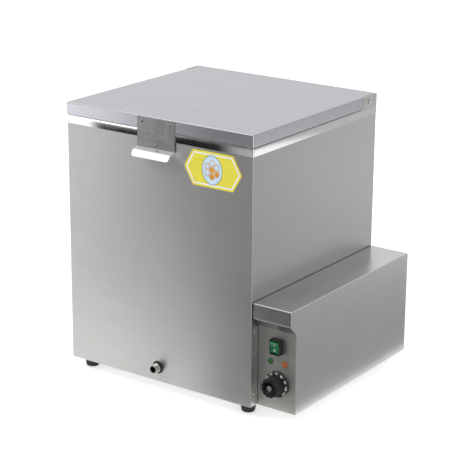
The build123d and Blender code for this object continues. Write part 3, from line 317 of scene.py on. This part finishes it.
# Lamp lenses: tinted clear plastic.
lens_clarity = {"Transmission_Weight": 0.35, "IOR": 1.49}
green_lens = moulded("green_lens", "#2E7A3A", "#215C2B", 0.14, 1.2, 0.01, **lens_clarity)
orange_lens = moulded("orange_lens", "#C4662E", "#A04C1E", 0.14, 1.2, 0.01, **lens_clarity)
# Vinyl label: saturated yellow print under a satin laminate.
label_yellow = moulded("yellow_label", "#D6CB35", "#CCC02B", 0.34, 0.7, 0.004)
label_line = moulded("label_line", "#DEDDEE", "#D2D1E2", 0.34, 0.7, 0.004)
label_amber = moulded("label_amber", "#C98A1E", "#B87812", 0.34, 0.7, 0.004)
label_green = moulded("label_green", "#2F5B39", "#274C30", 0.34, 0.7, 0.004)
label_pale = moulded("label_pale", "#B9CFE0", "#A9C2D6", 0.34, 0.7, 0.004)
# Mineral wool slab: tangled yellow-grey fibres.
wool = moulded("mineral_wool", "#A79A6B", "#83774E", 0.95, 2.2, 0.9)


# ---- mesh helpers --------------------------------------------------------------------------------
def piece(name, bm, body, slot, materials, replaced, bevel=0.0, thickness=0.0, smooth=35):
    """Turns a mesh drawn in millimetres into a finished piece that rides on a body."""
    bmesh.ops.remove_doubles(bm, verts=bm.verts, dist=0.001)
    bmesh.ops.scale(bm, vec=(MM, MM, MM), verts=bm.verts)
    if not thickness:
        bmesh.ops.recalc_face_normals(bm, faces=bm.faces)
    mesh = bpy.data.meshes.new(name)
    bm.to_mesh(mesh)
    bm.free()
    for material in materials:
        mesh.materials.append(material)
    for flat in mesh.polygons:
        flat.use_smooth = True
    mesh.set_sharp_from_angle(angle=radians(smooth))
    obj = bpy.data.objects.new(name, mesh)
    scene.collection.objects.link(obj)
    if thickness:
        wall = obj.modifiers.new("wall", "SOLIDIFY")
        wall.thickness = thickness * MM
        wall.offset = -1.0
    if bevel:
        edge = obj.modifiers.new("edge", "BEVEL")
        edge.width = bevel * MM
        edge.segments = 2
        edge.limit_method = "ANGLE"
        edge.angle_limit = radians(40)
    shading = obj.modifiers.new("flat_faces", "WEIGHTED_NORMAL")
    shading.keep_sharp = True
    shading.weight = 100
    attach(obj, body)
    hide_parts(*replaced)
    return obj


def polygon(bm, points):
    """One flat face through points."""
    return bm.faces.new([bm.verts.new(p) for p in points])


def pushed(bm, made, depth):
    """Moves the vertices that an extrusion made."""
    moved = [g for g in made["geom"] if isinstance(g, bmesh.types.BMVert)]
    bmesh.ops.translate(bm, vec=Vector(depth), verts=moved)


def push_edges(bm, edges, depth):
    """Edges drawn out into walls by a depth vector."""
    pushed(bm, bmesh.ops.extrude_edge_only(bm, edges=list(edges)), depth)


def push_faces(bm, faces, depth):
    """Flat faces pushed out into a solid by a depth vector."""
    pushed(bm, bmesh.ops.extrude_face_region(bm, geom=list(faces), use_keep_orig=True), depth)


def prism(bm, points, depth):
    """Flat face through points, pushed out into a solid."""
    push_faces(bm, [polygon(bm, points)], depth)


def box(bm, low, high):
    """Box between its lowest and highest corner."""
    low, high = Vector(low), Vector(high)
    bmesh.ops.create_cube(bm, size=1.0)
    bmesh.ops.scale(bm, vec=high - low, verts=bm.verts)
    bmesh.ops.translate(bm, vec=(low + high) / 2, verts=bm.verts)


def ring_between(bm, outer, inner):
    """Flat ring of faces between two loops of vertices; returns its faces."""
    edges = [bm.edges.new(pair) for loop in (outer, inner) for pair in zip(loop, loop[1:] + loop[:1])]
    return bmesh.ops.bridge_loops(bm, edges=edges)["faces"]


def round_edges(bm, edges, radius, segments=5):
    """Fold or round edges with an arc."""
    return bmesh.ops.bevel(
        bm, geom=list(edges), offset=radius, offset_type="OFFSET", segments=segments, profile=0.5,
        affect="EDGES", material=-1, clamp_overlap=True,
    )


def round_corners(bm, verts, radius, segments=5):
    """Round the corners of a flat face."""
    return bmesh.ops.bevel(
        bm, geom=list(verts), offset=radius, offset_type="OFFSET", segments=segments, profile=0.5,
        affect="VERTICES", material=-1, clamp_overlap=True,
    )


def folded_strip(bm, path, across, bends, segments=6):
    """Sheet surface along a path, with each inner corner folded to a bend radius."""
    verts = [bm.verts.new(p) for p in path]
    edges = [bm.edges.new(pair) for pair in zip(verts, verts[1:])]
    push_edges(bm, edges, across)
    for point, before, after, bend in zip(path[1:-1], path, path[2:], bends):
        corner = Vector(point)
        turn = (corner - Vector(before)).angle(Vector(after) - corner)
        folds = [
            e for e in bm.edges
            if min((v.co - corner).length for v in e.verts) < 0.001
            and abs((e.verts[0].co - e.verts[1].co).normalized().dot(Vector(across).normalized())) > 0.999
        ]
        round_edges(bm, folds, bend * tan(turn / 2), segments)


def turned(bm, profile, centre, axis, steps=40):
    """Lathe shape: profile points are (radius, distance along the axis)."""
    axis = Vector(axis).normalized()
    side_way = axis.orthogonal().normalized()
    centre = Vector(centre)
    verts = [bm.verts.new(centre + side_way * r + axis * h) for r, h in profile]
    edges = [bm.edges.new(pair) for pair in zip(verts, verts[1:])]
    bmesh.ops.spin(
        bm, geom=verts + edges, cent=centre, axis=axis, angle=2 * pi, steps=steps, use_merge=True
    )


def dome(radius, height, steps=6, base=0.0):
    """Profile of a shallow dome, rim first."""
    ball = (radius**2 + height**2) / (2 * height)
    spread = atan2(radius, ball - height)
    angles = [spread * (1 - i / steps) for i in range(steps + 1)]
    return [(ball * sin(a), base + height - ball * (1 - cos(a))) for a in angles]


def new():
    return bmesh.new()


# ---- lid -----------------------------------------------------------------------------------------
skin_points = [v.co / MM for v in nodes["lid_skin"].data.vertices]
lid_step = max(p.y for p in skin_points if abs(p.x - lid.x1) < 0.01)
tongue_xs = [p.x for p in skin_points if abs(p.y - lid.y1) < 0.01]
tongue_x0, tongue_x1 = min(tongue_xs), max(tongue_xs)
corner_radius = 3.0
rim_radius = 1.8

seam_shadow = 0.8
bm = new()
lid_plan = [
    (lid.x0, lid.y0), (lid.x1, lid.y0), (lid.x1, lid_step), (tongue_x1, lid_step),
    (tongue_x1, lid.y1), (tongue_x0, lid.y1), (tongue_x0, lid_step), (lid.x0, lid_step),
]
top = polygon(bm, [(x, y, lid.z1) for x, y in lid_plan])
round_corners(bm, [v for v in top.verts if v.co.y < lid.y0 + 1], corner_radius)
push_edges(bm, bm.edges, (0, 0, lid.z0 + seam_shadow - lid.z1))
rim = [e for e in bm.edges if all(abs(v.co.z - lid.z1) < 0.01 for v in e.verts)]
round_edges(bm, rim, rim_radius, 4)
bmesh.ops.recalc_face_normals(bm, faces=bm.faces)
piece("lid_sheet", bm, "lid", "brushed_stainless", [lid_steel], ["lid_skin"], bevel=0.45, thickness=1.0)

# ---- rim band ------------------------------------------------------------------------------------
bm = new()
band_fold = 3.5
band_plan = [(band.x0, band.y1), (band.x0, band.y0), (band.x1, band.y0), (band.x1, band.y1)]
band_path = [(x, y, band.z0) for x, y in band_plan]
folded_strip(bm, band_path, (0, 0, band.z1 - band.z0), (band_fold, band_fold))
bmesh.ops.recalc_face_normals(bm, faces=bm.faces)
piece("band_hoop", bm, "cabinet", "polished_stainless", [polished], ["rim_band"], bevel=0.3, thickness=1.0)

# ---- handle --------------------------------------------------------------------------------------
handle_sheet = 1.5
face_y = lid.y0 - handle_sheet
shelf_slope = 0.27
lip_radius = 10.0
plate_height = 66.0
bend_radius = 2.0
lip_corner = 7.0
bend_z = handle.z1 - plate_height
tip_y = handle.y0
lip_lean = 7.0
corner_y = tip_y + lip_lean
corner_z = bend_z - (face_y - corner_y) * shelf_slope
bm = new()
folded_strip(
    bm,
    [
        (handle.x0, face_y, handle.z1),
        (handle.x0, face_y, bend_z),
        (handle.x0, corner_y, corner_z),
        (handle.x0, tip_y, handle.z0),
    ],
    (handle.x1 - handle.x0, 0, 0),
    (bend_radius, lip_radius),
    8,
)
ends = [v for v in bm.verts if len(v.link_edges) == 2]
round_corners(bm, [v for v in ends if v.co.z < bend_z], lip_corner, 6)
# Faces below the bend take the second material, the lip's painted highlight.
for flat in bm.faces:
    flat.material_index = int(flat.calc_center_median().z < bend_z - 1.0)
bmesh.ops.recalc_face_normals(bm, faces=bm.faces)
piece(
    "handle_plate", bm, "lid", "polished_stainless", [mill_sheet, lip_painted_highlight], ["lid_handle"],
    bevel=0.35, thickness=handle_sheet,
)

rivet_spread = 37.5
rivet_drop = 11.5
low_rivet_rise = 8.0
rivet_head = [(4.3, -0.4), (4.3, 0.2)] + dome(4.2, 2.0, 6, 0.2)
bm = new()
for x, z in (
    (handle.mid.x - rivet_spread, lid.z1 - rivet_drop),
    (handle.mid.x + rivet_spread, lid.z1 - rivet_drop),
    (handle.mid.x, bend_z + low_rivet_rise),
):
    turned(bm, rivet_head, (x, face_y, z), (0, -1, 0), 28)
piece("handle_rivet_heads", bm, "lid", "satin_stainless", [satin], ["handle_rivets"])

# ---- side box: one folded shell for top, hood, outer side and control panel ------------------------
box_sheet = 1.0
fold = 2.5
seam_gap = 1.8
panel_y = panel.y1 - box_sheet
hood_y = hood.y0
hood_low = panel.z1 + (panel_y - hood_y)
side_outline = [
    (side.y1, side.z0), (side.y1, side.z1), (hood_y, side.z1),
    (hood_y, hood_low), (panel_y, panel.z1), (panel_y, side.z0),
]
bm = new()
corners = [bm.verts.new((side.x1, y, z)) for y, z in side_outline]
bm.faces.new(corners)
wrap = [bm.edges.get(pair) for pair in zip(corners[1:], corners[2:])]
push_edges(bm, wrap, (panel.x0 + seam_gap - side.x1, 0, 0))
for flat in bm.faces:
    flat.material_index = int(flat.calc_center_median().z < panel.z1 and abs(flat.normal.y) > 0.9)
round_edges(bm, [e for e in bm.edges if len(e.link_faces) == 2], fold, 4)
bmesh.ops.recalc_face_normals(bm, faces=bm.faces)
piece(
    "side_box_shell", bm, "cabinet", "brushed_stainless", [box_steel, panel_steel],
    ["side_box_cover", "side_box_side", "control_panel"], bevel=0.2, thickness=box_sheet,
)

flange_sheet = 1.2
flange_tuck = 0.5
bm = new()
box(
    bm,
    (panel.x0, panel.y0, side.z0 + 2.0),
    (panel.x0 + flange_sheet, panel_y + flange_tuck, panel.z1 - 1.0),
)
round_edges(bm, bm.edges, 0.3, 2)
piece("panel_flange", bm, "cabinet", "brushed_stainless", [box_steel], ["control_panel"])

# ---- feet ----------------------------------------------------------------------------------------
foot_radius = 19.0
foot_profile = [
    (8.0, 13.0), (8.0, 0.6), (8.6, 0.0), (12.0, 0.0), (13.6, 0.5), (14.8, 1.8),
    (15.3, 3.5), (16.3, 10.0), (16.1, 10.6), (16.4, 11.2), (17.9, 20.0), (17.7, 20.6),
    (18.0, 21.2), (18.7, 25.4), (18.2, 26.3), (4.0, 26.4),
]
bm = new()
for x in (foot_box.x0 + foot_radius, foot_box.x1 - foot_radius):
    for y in (foot_box.y0 + foot_radius, foot_box.y1 - foot_radius):
        turned(bm, foot_profile, (x, y, 0), (0, 0, 1), 40)
piece("rubber_feet", bm, "cabinet", "black_rubber", [rubber], ["feet"], smooth=50)

# ---- drain ---------------------------------------------------------------------------------------
pitch = 1.8
bore_radius = 7.5
root_radius = 9.4
crest_radius = 10.4
neck_radius = 9.5
neck_end = 3.4
thread_end = 4.6
mouth = casing.y0 - nipple.y0
inner_end = casing.y0 - nipple.y1
drain_at = (nipple.mid.x, casing.y0, nipple.mid.z)
profile = [(bore_radius, inner_end), (bore_radius, mouth - 0.8), (8.1, mouth), (root_radius, mouth)]
crest = mouth - 0.9
while crest > thread_end:
    profile += [(crest_radius, crest), (crest_radius, crest - 0.35)]
    profile += [(root_radius, crest - 0.9), (root_radius, crest - 1.1)]
    crest -= pitch
profile += [(neck_radius, neck_end), (neck_radius, inner_end), (bore_radius, inner_end)]
bm = new()
turned(bm, profile, drain_at, (0, -1, 0), 48)
piece("threaded_nipple", bm, "cabinet", "threaded_stainless", [threaded], ["drain_nipple"], smooth=60)

bm = new()
turned(
    bm,
    [(9.7, -1.0), (9.7, 2.1), (10.1, 2.5), (12.8, 2.5), (13.9, 2.1), (14.5, 1.2), (14.5, 0.0), (9.7, -1.0)],
    drain_at, (0, -1, 0), 48,
)
piece("grommet_ring", bm, "cabinet", "black_rubber", [rubber], ["drain_grommet"])

# ---- label ---------------------------------------------------------------------------------------
tip_length = 22.5
half_w = (label.x1 - label.x0) / 2
half_h = (label.z1 - label.z0) / 2
print_depth = 0.05


def label_hexagon(inset, y):
    """Corners of the label's outline, moved inwards by an inset."""
    w = half_w - inset / sin(atan2(half_h, tip_length))
    h = half_h - inset
    shoulder = w - h * tip_length / half_h
    cx, cz = label.mid.x, label.mid.z
    return [
        (cx - w, y, cz), (cx - shoulder, y, cz - h), (cx + shoulder, y, cz - h),
        (cx + w, y, cz), (cx + shoulder, y, cz + h), (cx - shoulder, y, cz + h),
    ]


def oval(bm, centre, half_x, half_z, y, sides):
    """Loop of vertices round an oval that faces the front."""
    turns = [2 * pi * i / sides for i in range(sides)]
    return [bm.verts.new((centre[0] + half_x * cos(t), y, centre[1] + half_z * sin(t))) for t in turns]


def disc(bm, centre, half_x, half_z, lift, sides, hole=0.0):
    """Flat printed oval or polygon, with an optional rim width that leaves a hole, lifted off the label."""
    y = label.y0 + lift
    outer = oval(bm, centre, half_x, half_z, y, sides)
    if hole:
        faces = ring_between(bm, outer, oval(bm, centre, half_x - hole, half_z - hole, y, sides))
    else:
        faces = [bm.faces.new(outer)]
    push_faces(bm, faces, (0, print_depth, 0))


base_drop = 0.06
bm = new()
prism(bm, label_hexagon(0.0, label.y1), (0, label.y0 - label.y1 + base_drop, 0))
corners = [e for e in bm.edges if abs(e.verts[0].co.y - e.verts[1].co.y) > 0.1]
round_edges(bm, corners, 1.6, 4)
piece("label_base", bm, "cabinet", "yellow_label", [label_yellow], ["label_plate"], bevel=0.08)

border_lift = 0.03
bm = new()
rims = [[bm.verts.new(p) for p in label_hexagon(inset, label.y0 + border_lift)] for inset in (4.6, 7.4)]
push_faces(bm, ring_between(bm, *rims), (0, print_depth, 0))
piece("label_border", bm, "cabinet", "yellow_label", [label_line], ["label_plate"])

emblem_x = label.mid.x - 2.0
emblem_z = label.mid.z
cell = 7.6
cell_wall = 1.7
cell_lift = 0.015


def cell_spot(column, row):
    """Middle of one honeycomb cell."""
    return emblem_x + column * cell * 1.62, emblem_z + row * cell * 1.88


bm = new()
disc(bm, (emblem_x, emblem_z), 25.5, 31.0, 0.03, 64)
piece("emblem_field", bm, "cabinet", "yellow_label", [label_pale], ["label_plate"])
bm = new()
disc(bm, (emblem_x, emblem_z), 26.6, 32.0, 0.02, 64, hole=1.2)
piece("emblem_ring", bm, "cabinet", "yellow_label", [label_green], ["label_plate"])
bm = new()
for column, row in ((0, 0), (1, 0.5), (1, -0.5), (-1, 0.5), (-1, -0.5), (0, 1), (0, -1)):
    disc(bm, cell_spot(column, row), cell, cell, cell_lift, 6, hole=cell_wall)
piece("emblem_comb", bm, "cabinet", "yellow_label", [label_amber], ["label_plate"])
bm = new()
for column, row in ((0, 0), (1, -0.5), (0, -1)):
    disc(bm, cell_spot(column, row), cell - 1.8, cell - 1.8, cell_lift, 6)
piece("emblem_honey", bm, "cabinet", "yellow_label", [label_amber], ["label_plate"])

# ---- switch --------------------------------------------------------------------------------------
bezel_corner = 2.2
bezel_rim = 1.2
bm = new()
box(bm, (bezel.x0, bezel.y0, bezel.z0), (bezel.x1, panel_y, bezel.z1))
uprights = [e for e in bm.edges if abs(e.verts[0].co.y - e.verts[1].co.y) > 1]
round_edges(bm, uprights, bezel_corner, 4)
mouth_face = [f for f in bm.faces if all(abs(v.co.y - bezel.y0) < 0.01 for v in f.verts)]
for width, depth in ((bezel_rim, 0.0), (bezel_rim, -0.4), (0.2, -9.0)):
    bmesh.ops.inset_region(bm, faces=mouth_face, thickness=width, use_even_offset=True, depth=depth)
piece("switch_bezel", bm, "cabinet", "black_plastic", [black_plastic], ["switch_housing"], bevel=0.4)

# ---- lamps ---------------------------------------------------------------------------------------
dome_height = 3.0
for colour_name, tint in (("green", green_lens), ("orange", orange_lens)):
    node = "lamp_lens_" + colour_name
    lamp = Extent(node)
    radius = (lamp.x1 - lamp.x0) / 2
    collar = panel_y - lamp.y0 - dome_height
    profile = [(0.0, 0.0), (radius, 0.0), (radius, collar - 0.4), (radius - 0.5, collar)]
    profile += dome(radius - 0.7, dome_height, 7, collar)
    bm = new()
    turned(bm, profile, (lamp.mid.x, panel_y, lamp.mid.z), (0, -1, 0), 36)
    piece(node + "_dome", bm, "cabinet", colour_name + "_lens", [tint], [node])

# ---- thermostat knob -------------------------------------------------------------------------------
knob_back = knob.y1
flange_r = (knob.x1 - knob.x0) / 2
grip_r = 21.5
flange_top = 5.0
flange_profile = [
    (12.0, 0.0), (flange_r - 0.6, 0.0), (flange_r, 0.6), (flange_r, 3.6),
    (flange_r - 1.4, flange_top), (grip_r - 1.5, flange_top), (12.0, 4.0),
]
bm = new()
turned(bm, flange_profile, (knob.mid.x, knob_back, knob.mid.z), (0, -1, 0), 72)
dial = ("thermostat_dial", "black_plastic", [black_plastic], ["thermostat_knob"])
piece("dial_flange", bm, *dial, bevel=0.2)

flutes = 12
flute_depth = 1.7
flute_steps = 8
grip_start = knob_back - flange_top + 0.2
ring = []
for i in range(flutes * flute_steps):
    angle = 2 * pi * i / (flutes * flute_steps)
    radius = grip_r - flute_depth * max(0.0, cos(flutes * angle)) ** 1.5
    ring.append((knob.mid.x + radius * cos(angle), grip_start, knob.mid.z + radius * sin(angle)))
bm = new()
prism(bm, ring, (0, knob.y0 - grip_start, 0))
front = [f for f in bm.faces if all(abs(v.co.y - knob.y0) < 0.01 for v in f.verts)]
bmesh.ops.inset_region(bm, faces=front, thickness=2.2, use_even_offset=False)
edge_ring = [v for v in bm.verts if abs(v.co.y - knob.y0) < 0.01 and v not in front[0].verts]
bmesh.ops.translate(bm, vec=(0, 1.1, 0), verts=edge_ring)
for width, depth in ((11.6, 0.0), (0.25, -1.8)):
    bmesh.ops.inset_region(bm, faces=front, thickness=width, use_even_offset=False, depth=depth)
piece("dial_grip", bm, *dial, bevel=0.35, smooth=40)

bm = new()
turned(
    bm, [(0.0, 0.2), (2.0, 0.5), (4.6, 0.7), (5.6, 0.9), (5.9, 0.6), (5.9, 0.0), (0.0, 0.0)],
    (cap.mid.x, cap.y1, cap.mid.z), (0, -1, 0), 36,
)
piece("knob_disc", bm, "thermostat_dial", "spun_aluminium", [aluminium], ["knob_cap"])


def numeral(text, spot, turn):
    """Raised numeral facing the front, turned about the knob's axis and laid at a spot."""
    curve = bpy.data.curves.new("numeral", "FONT")
    curve.body = text
    curve.size = 7.2
    curve.extrude = 0.12
    curve.offset = 0.1
    curve.resolution_u = 3
    curve.align_x = "CENTER"
    curve.align_y = "CENTER"
    holder = bpy.data.objects.new("numeral", curve)
    scene.collection.objects.link(holder)
    mesh = bpy.data.meshes.new_from_object(holder)
    bpy.data.objects.remove(holder)
    upright_turn = Matrix.Rotation(radians(90), 4, "X") @ Matrix.Rotation(turn, 4, "Z")
    mesh.transform(Matrix.Translation(spot) @ upright_turn)
    return mesh


scale_labels = [str(n) for n in range(30, 120, 10)]
scale_start = 215
scale_sweep = 252
ring_radius = 25.1
bm = new()
for index, text in enumerate(scale_labels):
    angle = radians(scale_start - index * scale_sweep / (len(scale_labels) - 1))
    x = knob.mid.x + ring_radius * cos(angle)
    z = knob.mid.z + ring_radius * sin(angle)
    mesh = numeral(text, (x, knob_back - flange_top - 0.05, z), angle - pi / 2)
    bm.from_mesh(mesh)
    bpy.data.meshes.remove(mesh)
piece("dial_numerals", bm, "thermostat_dial", "white_plastic", [white_plastic], ["thermostat_knob"])

# ---- rocker --------------------------------------------------------------------------------------
bm = new()
bm.from_mesh(nodes["switch_rocker"].data)
bmesh.ops.scale(bm, vec=(1 / MM, 1 / MM, 1 / MM), verts=bm.verts)
bmesh.ops.remove_doubles(bm, verts=bm.verts, dist=0.001)
rocker_surface = BVHTree.FromBMesh(bm)
piece("rocker_cap", bm, "rocker", "green_rocker", [green_rocker], ["switch_rocker"], bevel=0.25)


def on_rocker(bm, points, height):
    """Lays flat mark corners, given as (x, z) from the rocker's middle, on the rocker's face."""
    laid = []
    for x, z in points:
        origin = Vector((rocker.mid.x + x, rocker.y0 - 20, rocker.mid.z + z))
        hit, normal = rocker_surface.ray_cast(origin, Vector((0, 1, 0)))[:2]
        laid.append(bm.verts.new(hit + normal * height))
    return laid


mark_height = 0.12
ring_steps = 24
ring_drop = 6.6
ring_turns = [2 * pi * i / ring_steps for i in range(ring_steps)]
bm = new()
bm.faces.new(on_rocker(bm, [(-0.6, 4.2), (0.6, 4.2), (0.6, 8.4), (-0.6, 8.4)], mark_height))
rims = [
    on_rocker(bm, [(r * cos(t), r * sin(t) - ring_drop) for t in ring_turns], mark_height)
    for r in (1.5, 2.3)
]
ring_between(bm, *rims)
push_faces(bm, bm.faces, (0, 0.2, 0))
piece("rocker_marks", bm, "rocker", "white_plastic", [white_plastic], ["switch_rocker"])

# ---- carried-over nodes ----------------------------------------------------------------------------
finishes = {
    "brushed_stainless": brushed, "polished_stainless": polished, "satin_stainless": tank_sheet,
    "threaded_stainless": threaded, "element_sheath": element, "copper_tube": copper,
    "nickelled_brass": brass, "zinc_rail": zinc, "spun_aluminium": aluminium, "black_rubber": rubber,
    "silicone": silicone, "mineral_wool": wool, "black_plastic": black_plastic,
    "white_plastic": white_plastic, "wire_sleeve": sleeve, "green_rocker": green_rocker,
    "green_lens": green_lens, "orange_lens": orange_lens, "yellow_label": label_yellow,
}
for subpart in frame["record"]["subparts"]:
    node_materials = nodes[subpart["node"]].data.materials
    node_materials.clear()
    node_materials.append(finishes[subpart["material_slot"]])

# ---- studio --------------------------------------------------------------------------------------
floor_paint, floor_shader = start("floor_paint", "#E4E4E4", 0.8)
floor_shader.inputs["Emission Color"].default_value = rgb("#FFFFFF")
floor_shader.inputs["Emission Strength"].default_value = 0.55
floor_mesh = bpy.data.meshes.new("studio_floor")
bm = new()
bmesh.ops.create_grid(bm, x_segments=1, y_segments=1, size=9.0)
bm.to_mesh(floor_mesh)
bm.free()
floor = bpy.data.objects.new("studio_floor", floor_mesh)
floor.data.materials.append(floor_paint)
scene.collection.objects.link(floor)


def card(name, corners, along, stops, glow=1.0):
    """Graded card that only shows in the steel. Its shade runs along a direction, with stops in metres."""
    paint, shader = start(name + "_paint", "#000000", 1.0)
    reach = add(
        paint,
        "VectorMath",
        {1: Vector(along).normalized()},
        {0: (add(paint, "TexCoord"), "Object")},
        operation="DOT_PRODUCT",
    )
    near, far = stops[0][0], stops[-1][0]
    share = to_range(paint, reach, "Value", 0.0, 1.0, near, far)
    shade = ramp(paint, share, "Result", [((at - near) / (far - near), colour) for at, colour in stops])
    join(paint, shader, "Emission Color", shade, "Color")
    shader.inputs["Emission Strength"].default_value = glow
    mesh = bpy.data.meshes.new(name)
    bm = new()
    polygon(bm, corners)
    bm.to_mesh(mesh)
    bm.free()
    obj = bpy.data.objects.new(name, mesh)
    obj.data.materials.append(paint)
    scene.collection.objects.link(obj)
    obj.visible_camera = False
    obj.visible_shadow = False
    obj.visible_diffuse = False


def upright(x0, y0, x1, y1, z0, z1):
    """Corners of an upright card."""
    return [(x0, y0, z0), (x1, y1, z0), (x1, y1, z1), (x0, y0, z1)]


def lying(x0, y0, x1, y1, z):
    """Corners of a level card."""
    return [(x0, y0, z), (x1, y0, z), (x1, y1, z), (x0, y1, z)]


# In front: the lid edge and the handle see front_card, the casing upper_card, the rim band low_card.
card(
    "front_card", upright(-2.4, -1.6, 1.2, -1.6, 0.174, 0.27), (1, 0, 0),
    [(-1.75, "#FFFFFF"), (-1.16, "#FFFFFF"), (-1.05, "#808080"), (-0.95, "#444444"), (-0.73, "#222222")],
    3.4,
)
card(
    "upper_card", upright(-2.4, -1.6, 1.2, -1.6, 0.27, 1.2), (1, 0, 0),
    [(-1.75, "#A4A4A4"), (-1.20, "#9A9A9A"), (-1.02, "#5C5C5C"), (-0.85, "#181818"), (-0.73, "#0C0C0C")],
)
card(
    "low_card", upright(-1.385, -1.598, -0.70, -1.598, 0.0, 0.174), (1, 0, 0),
    [
        (-1.385, "#FFFFFF"), (-1.345, "#4A4A4A"), (-1.29, "#101010"),
        (-0.86, "#060606"), (-0.79, "#B0B0B0"), (-0.70, "#C8C8C8"),
    ],
)
# On the floor in front: the lower part of the casing and the control panel see these.
front_way = (0.789, -0.615, 0)
card(
    "front_floor_card", lying(-2.4, -1.59, 0.9, -0.27, 0.003), front_way,
    [
        (-0.30, "#F0F0F0"), (-0.05, "#C6C6C6"), (0.14, "#B8B8B8"),
        (0.23, "#6E6E6E"), (0.32, "#262626"), (0.5, "#181818"),
    ],
    1.15,
)
card(
    "apron_card", lying(-2.4, -0.62, 0.9, -0.27, 0.004), front_way,
    [
        (-0.25, "#FFFFFF"), (0.0, "#FAFAFA"), (0.18, "#E0E0E0"),
        (0.27, "#909090"), (0.36, "#7C7C7C"), (0.5, "#707070"),
    ],
    1.25,
)
# On the right: the casing's side, the box's side and the lid's right edge see these.
card(
    "side_floor_card", lying(0.34, -0.5, 1.5, 3.2, 0.003), (0.8, 0.6, 0),
    [
        (0.5, "#949494"), (0.9, "#9C9C9C"), (1.3, "#C8C8C8"),
        (1.9, "#FFFFFF"), (2.15, "#FFFFFF"), (2.3, "#B4B4B4"),
    ],
    1.25,
)
card("side_card", upright(1.5, 0.2, 1.5, 3.4, 0.0, 1.6), (0, 1, 0), [(1.3, "#949494"), (2.6, "#C8C8C8")])
# Overhead: the handle's lip and the folded front edges see this.
card("sky_card", lying(-2.2, -2.6, -0.5, 1.2, 2.0), (1, 0, 0), [(-2.2, "#FFFFFF"), (-0.5, "#FFFFFF")], 1.5)

world = bpy.data.worlds.new("studio")
scene.world = world
world.use_nodes = True
world.node_tree.nodes["Background"].inputs["Color"].default_value = (1.0, 1.0, 1.0, 1.0)
world.node_tree.nodes["Background"].inputs["Strength"].default_value = 0.85


def soft_light(name, place, aim, size, power):
    """Square soft box."""
    light = bpy.data.lights.new(name, "AREA")
    light.size = size
    light.energy = power
    lamp = bpy.data.objects.new(name, light)
    scene.collection.objects.link(lamp)
    lamp.location = place
    lamp.rotation_euler = (Vector(aim) - Vector(place)).to_track_quat("-Z", "Y").to_euler()


soft_light("key_light", (-1.6, -1.8, 3.0), (0, 0, 0.3), 2.0, 30.0)
soft_light("fill_light", (2.6, 0.4, 2.6), (0, 0, 0.3), 1.6, 8.0)
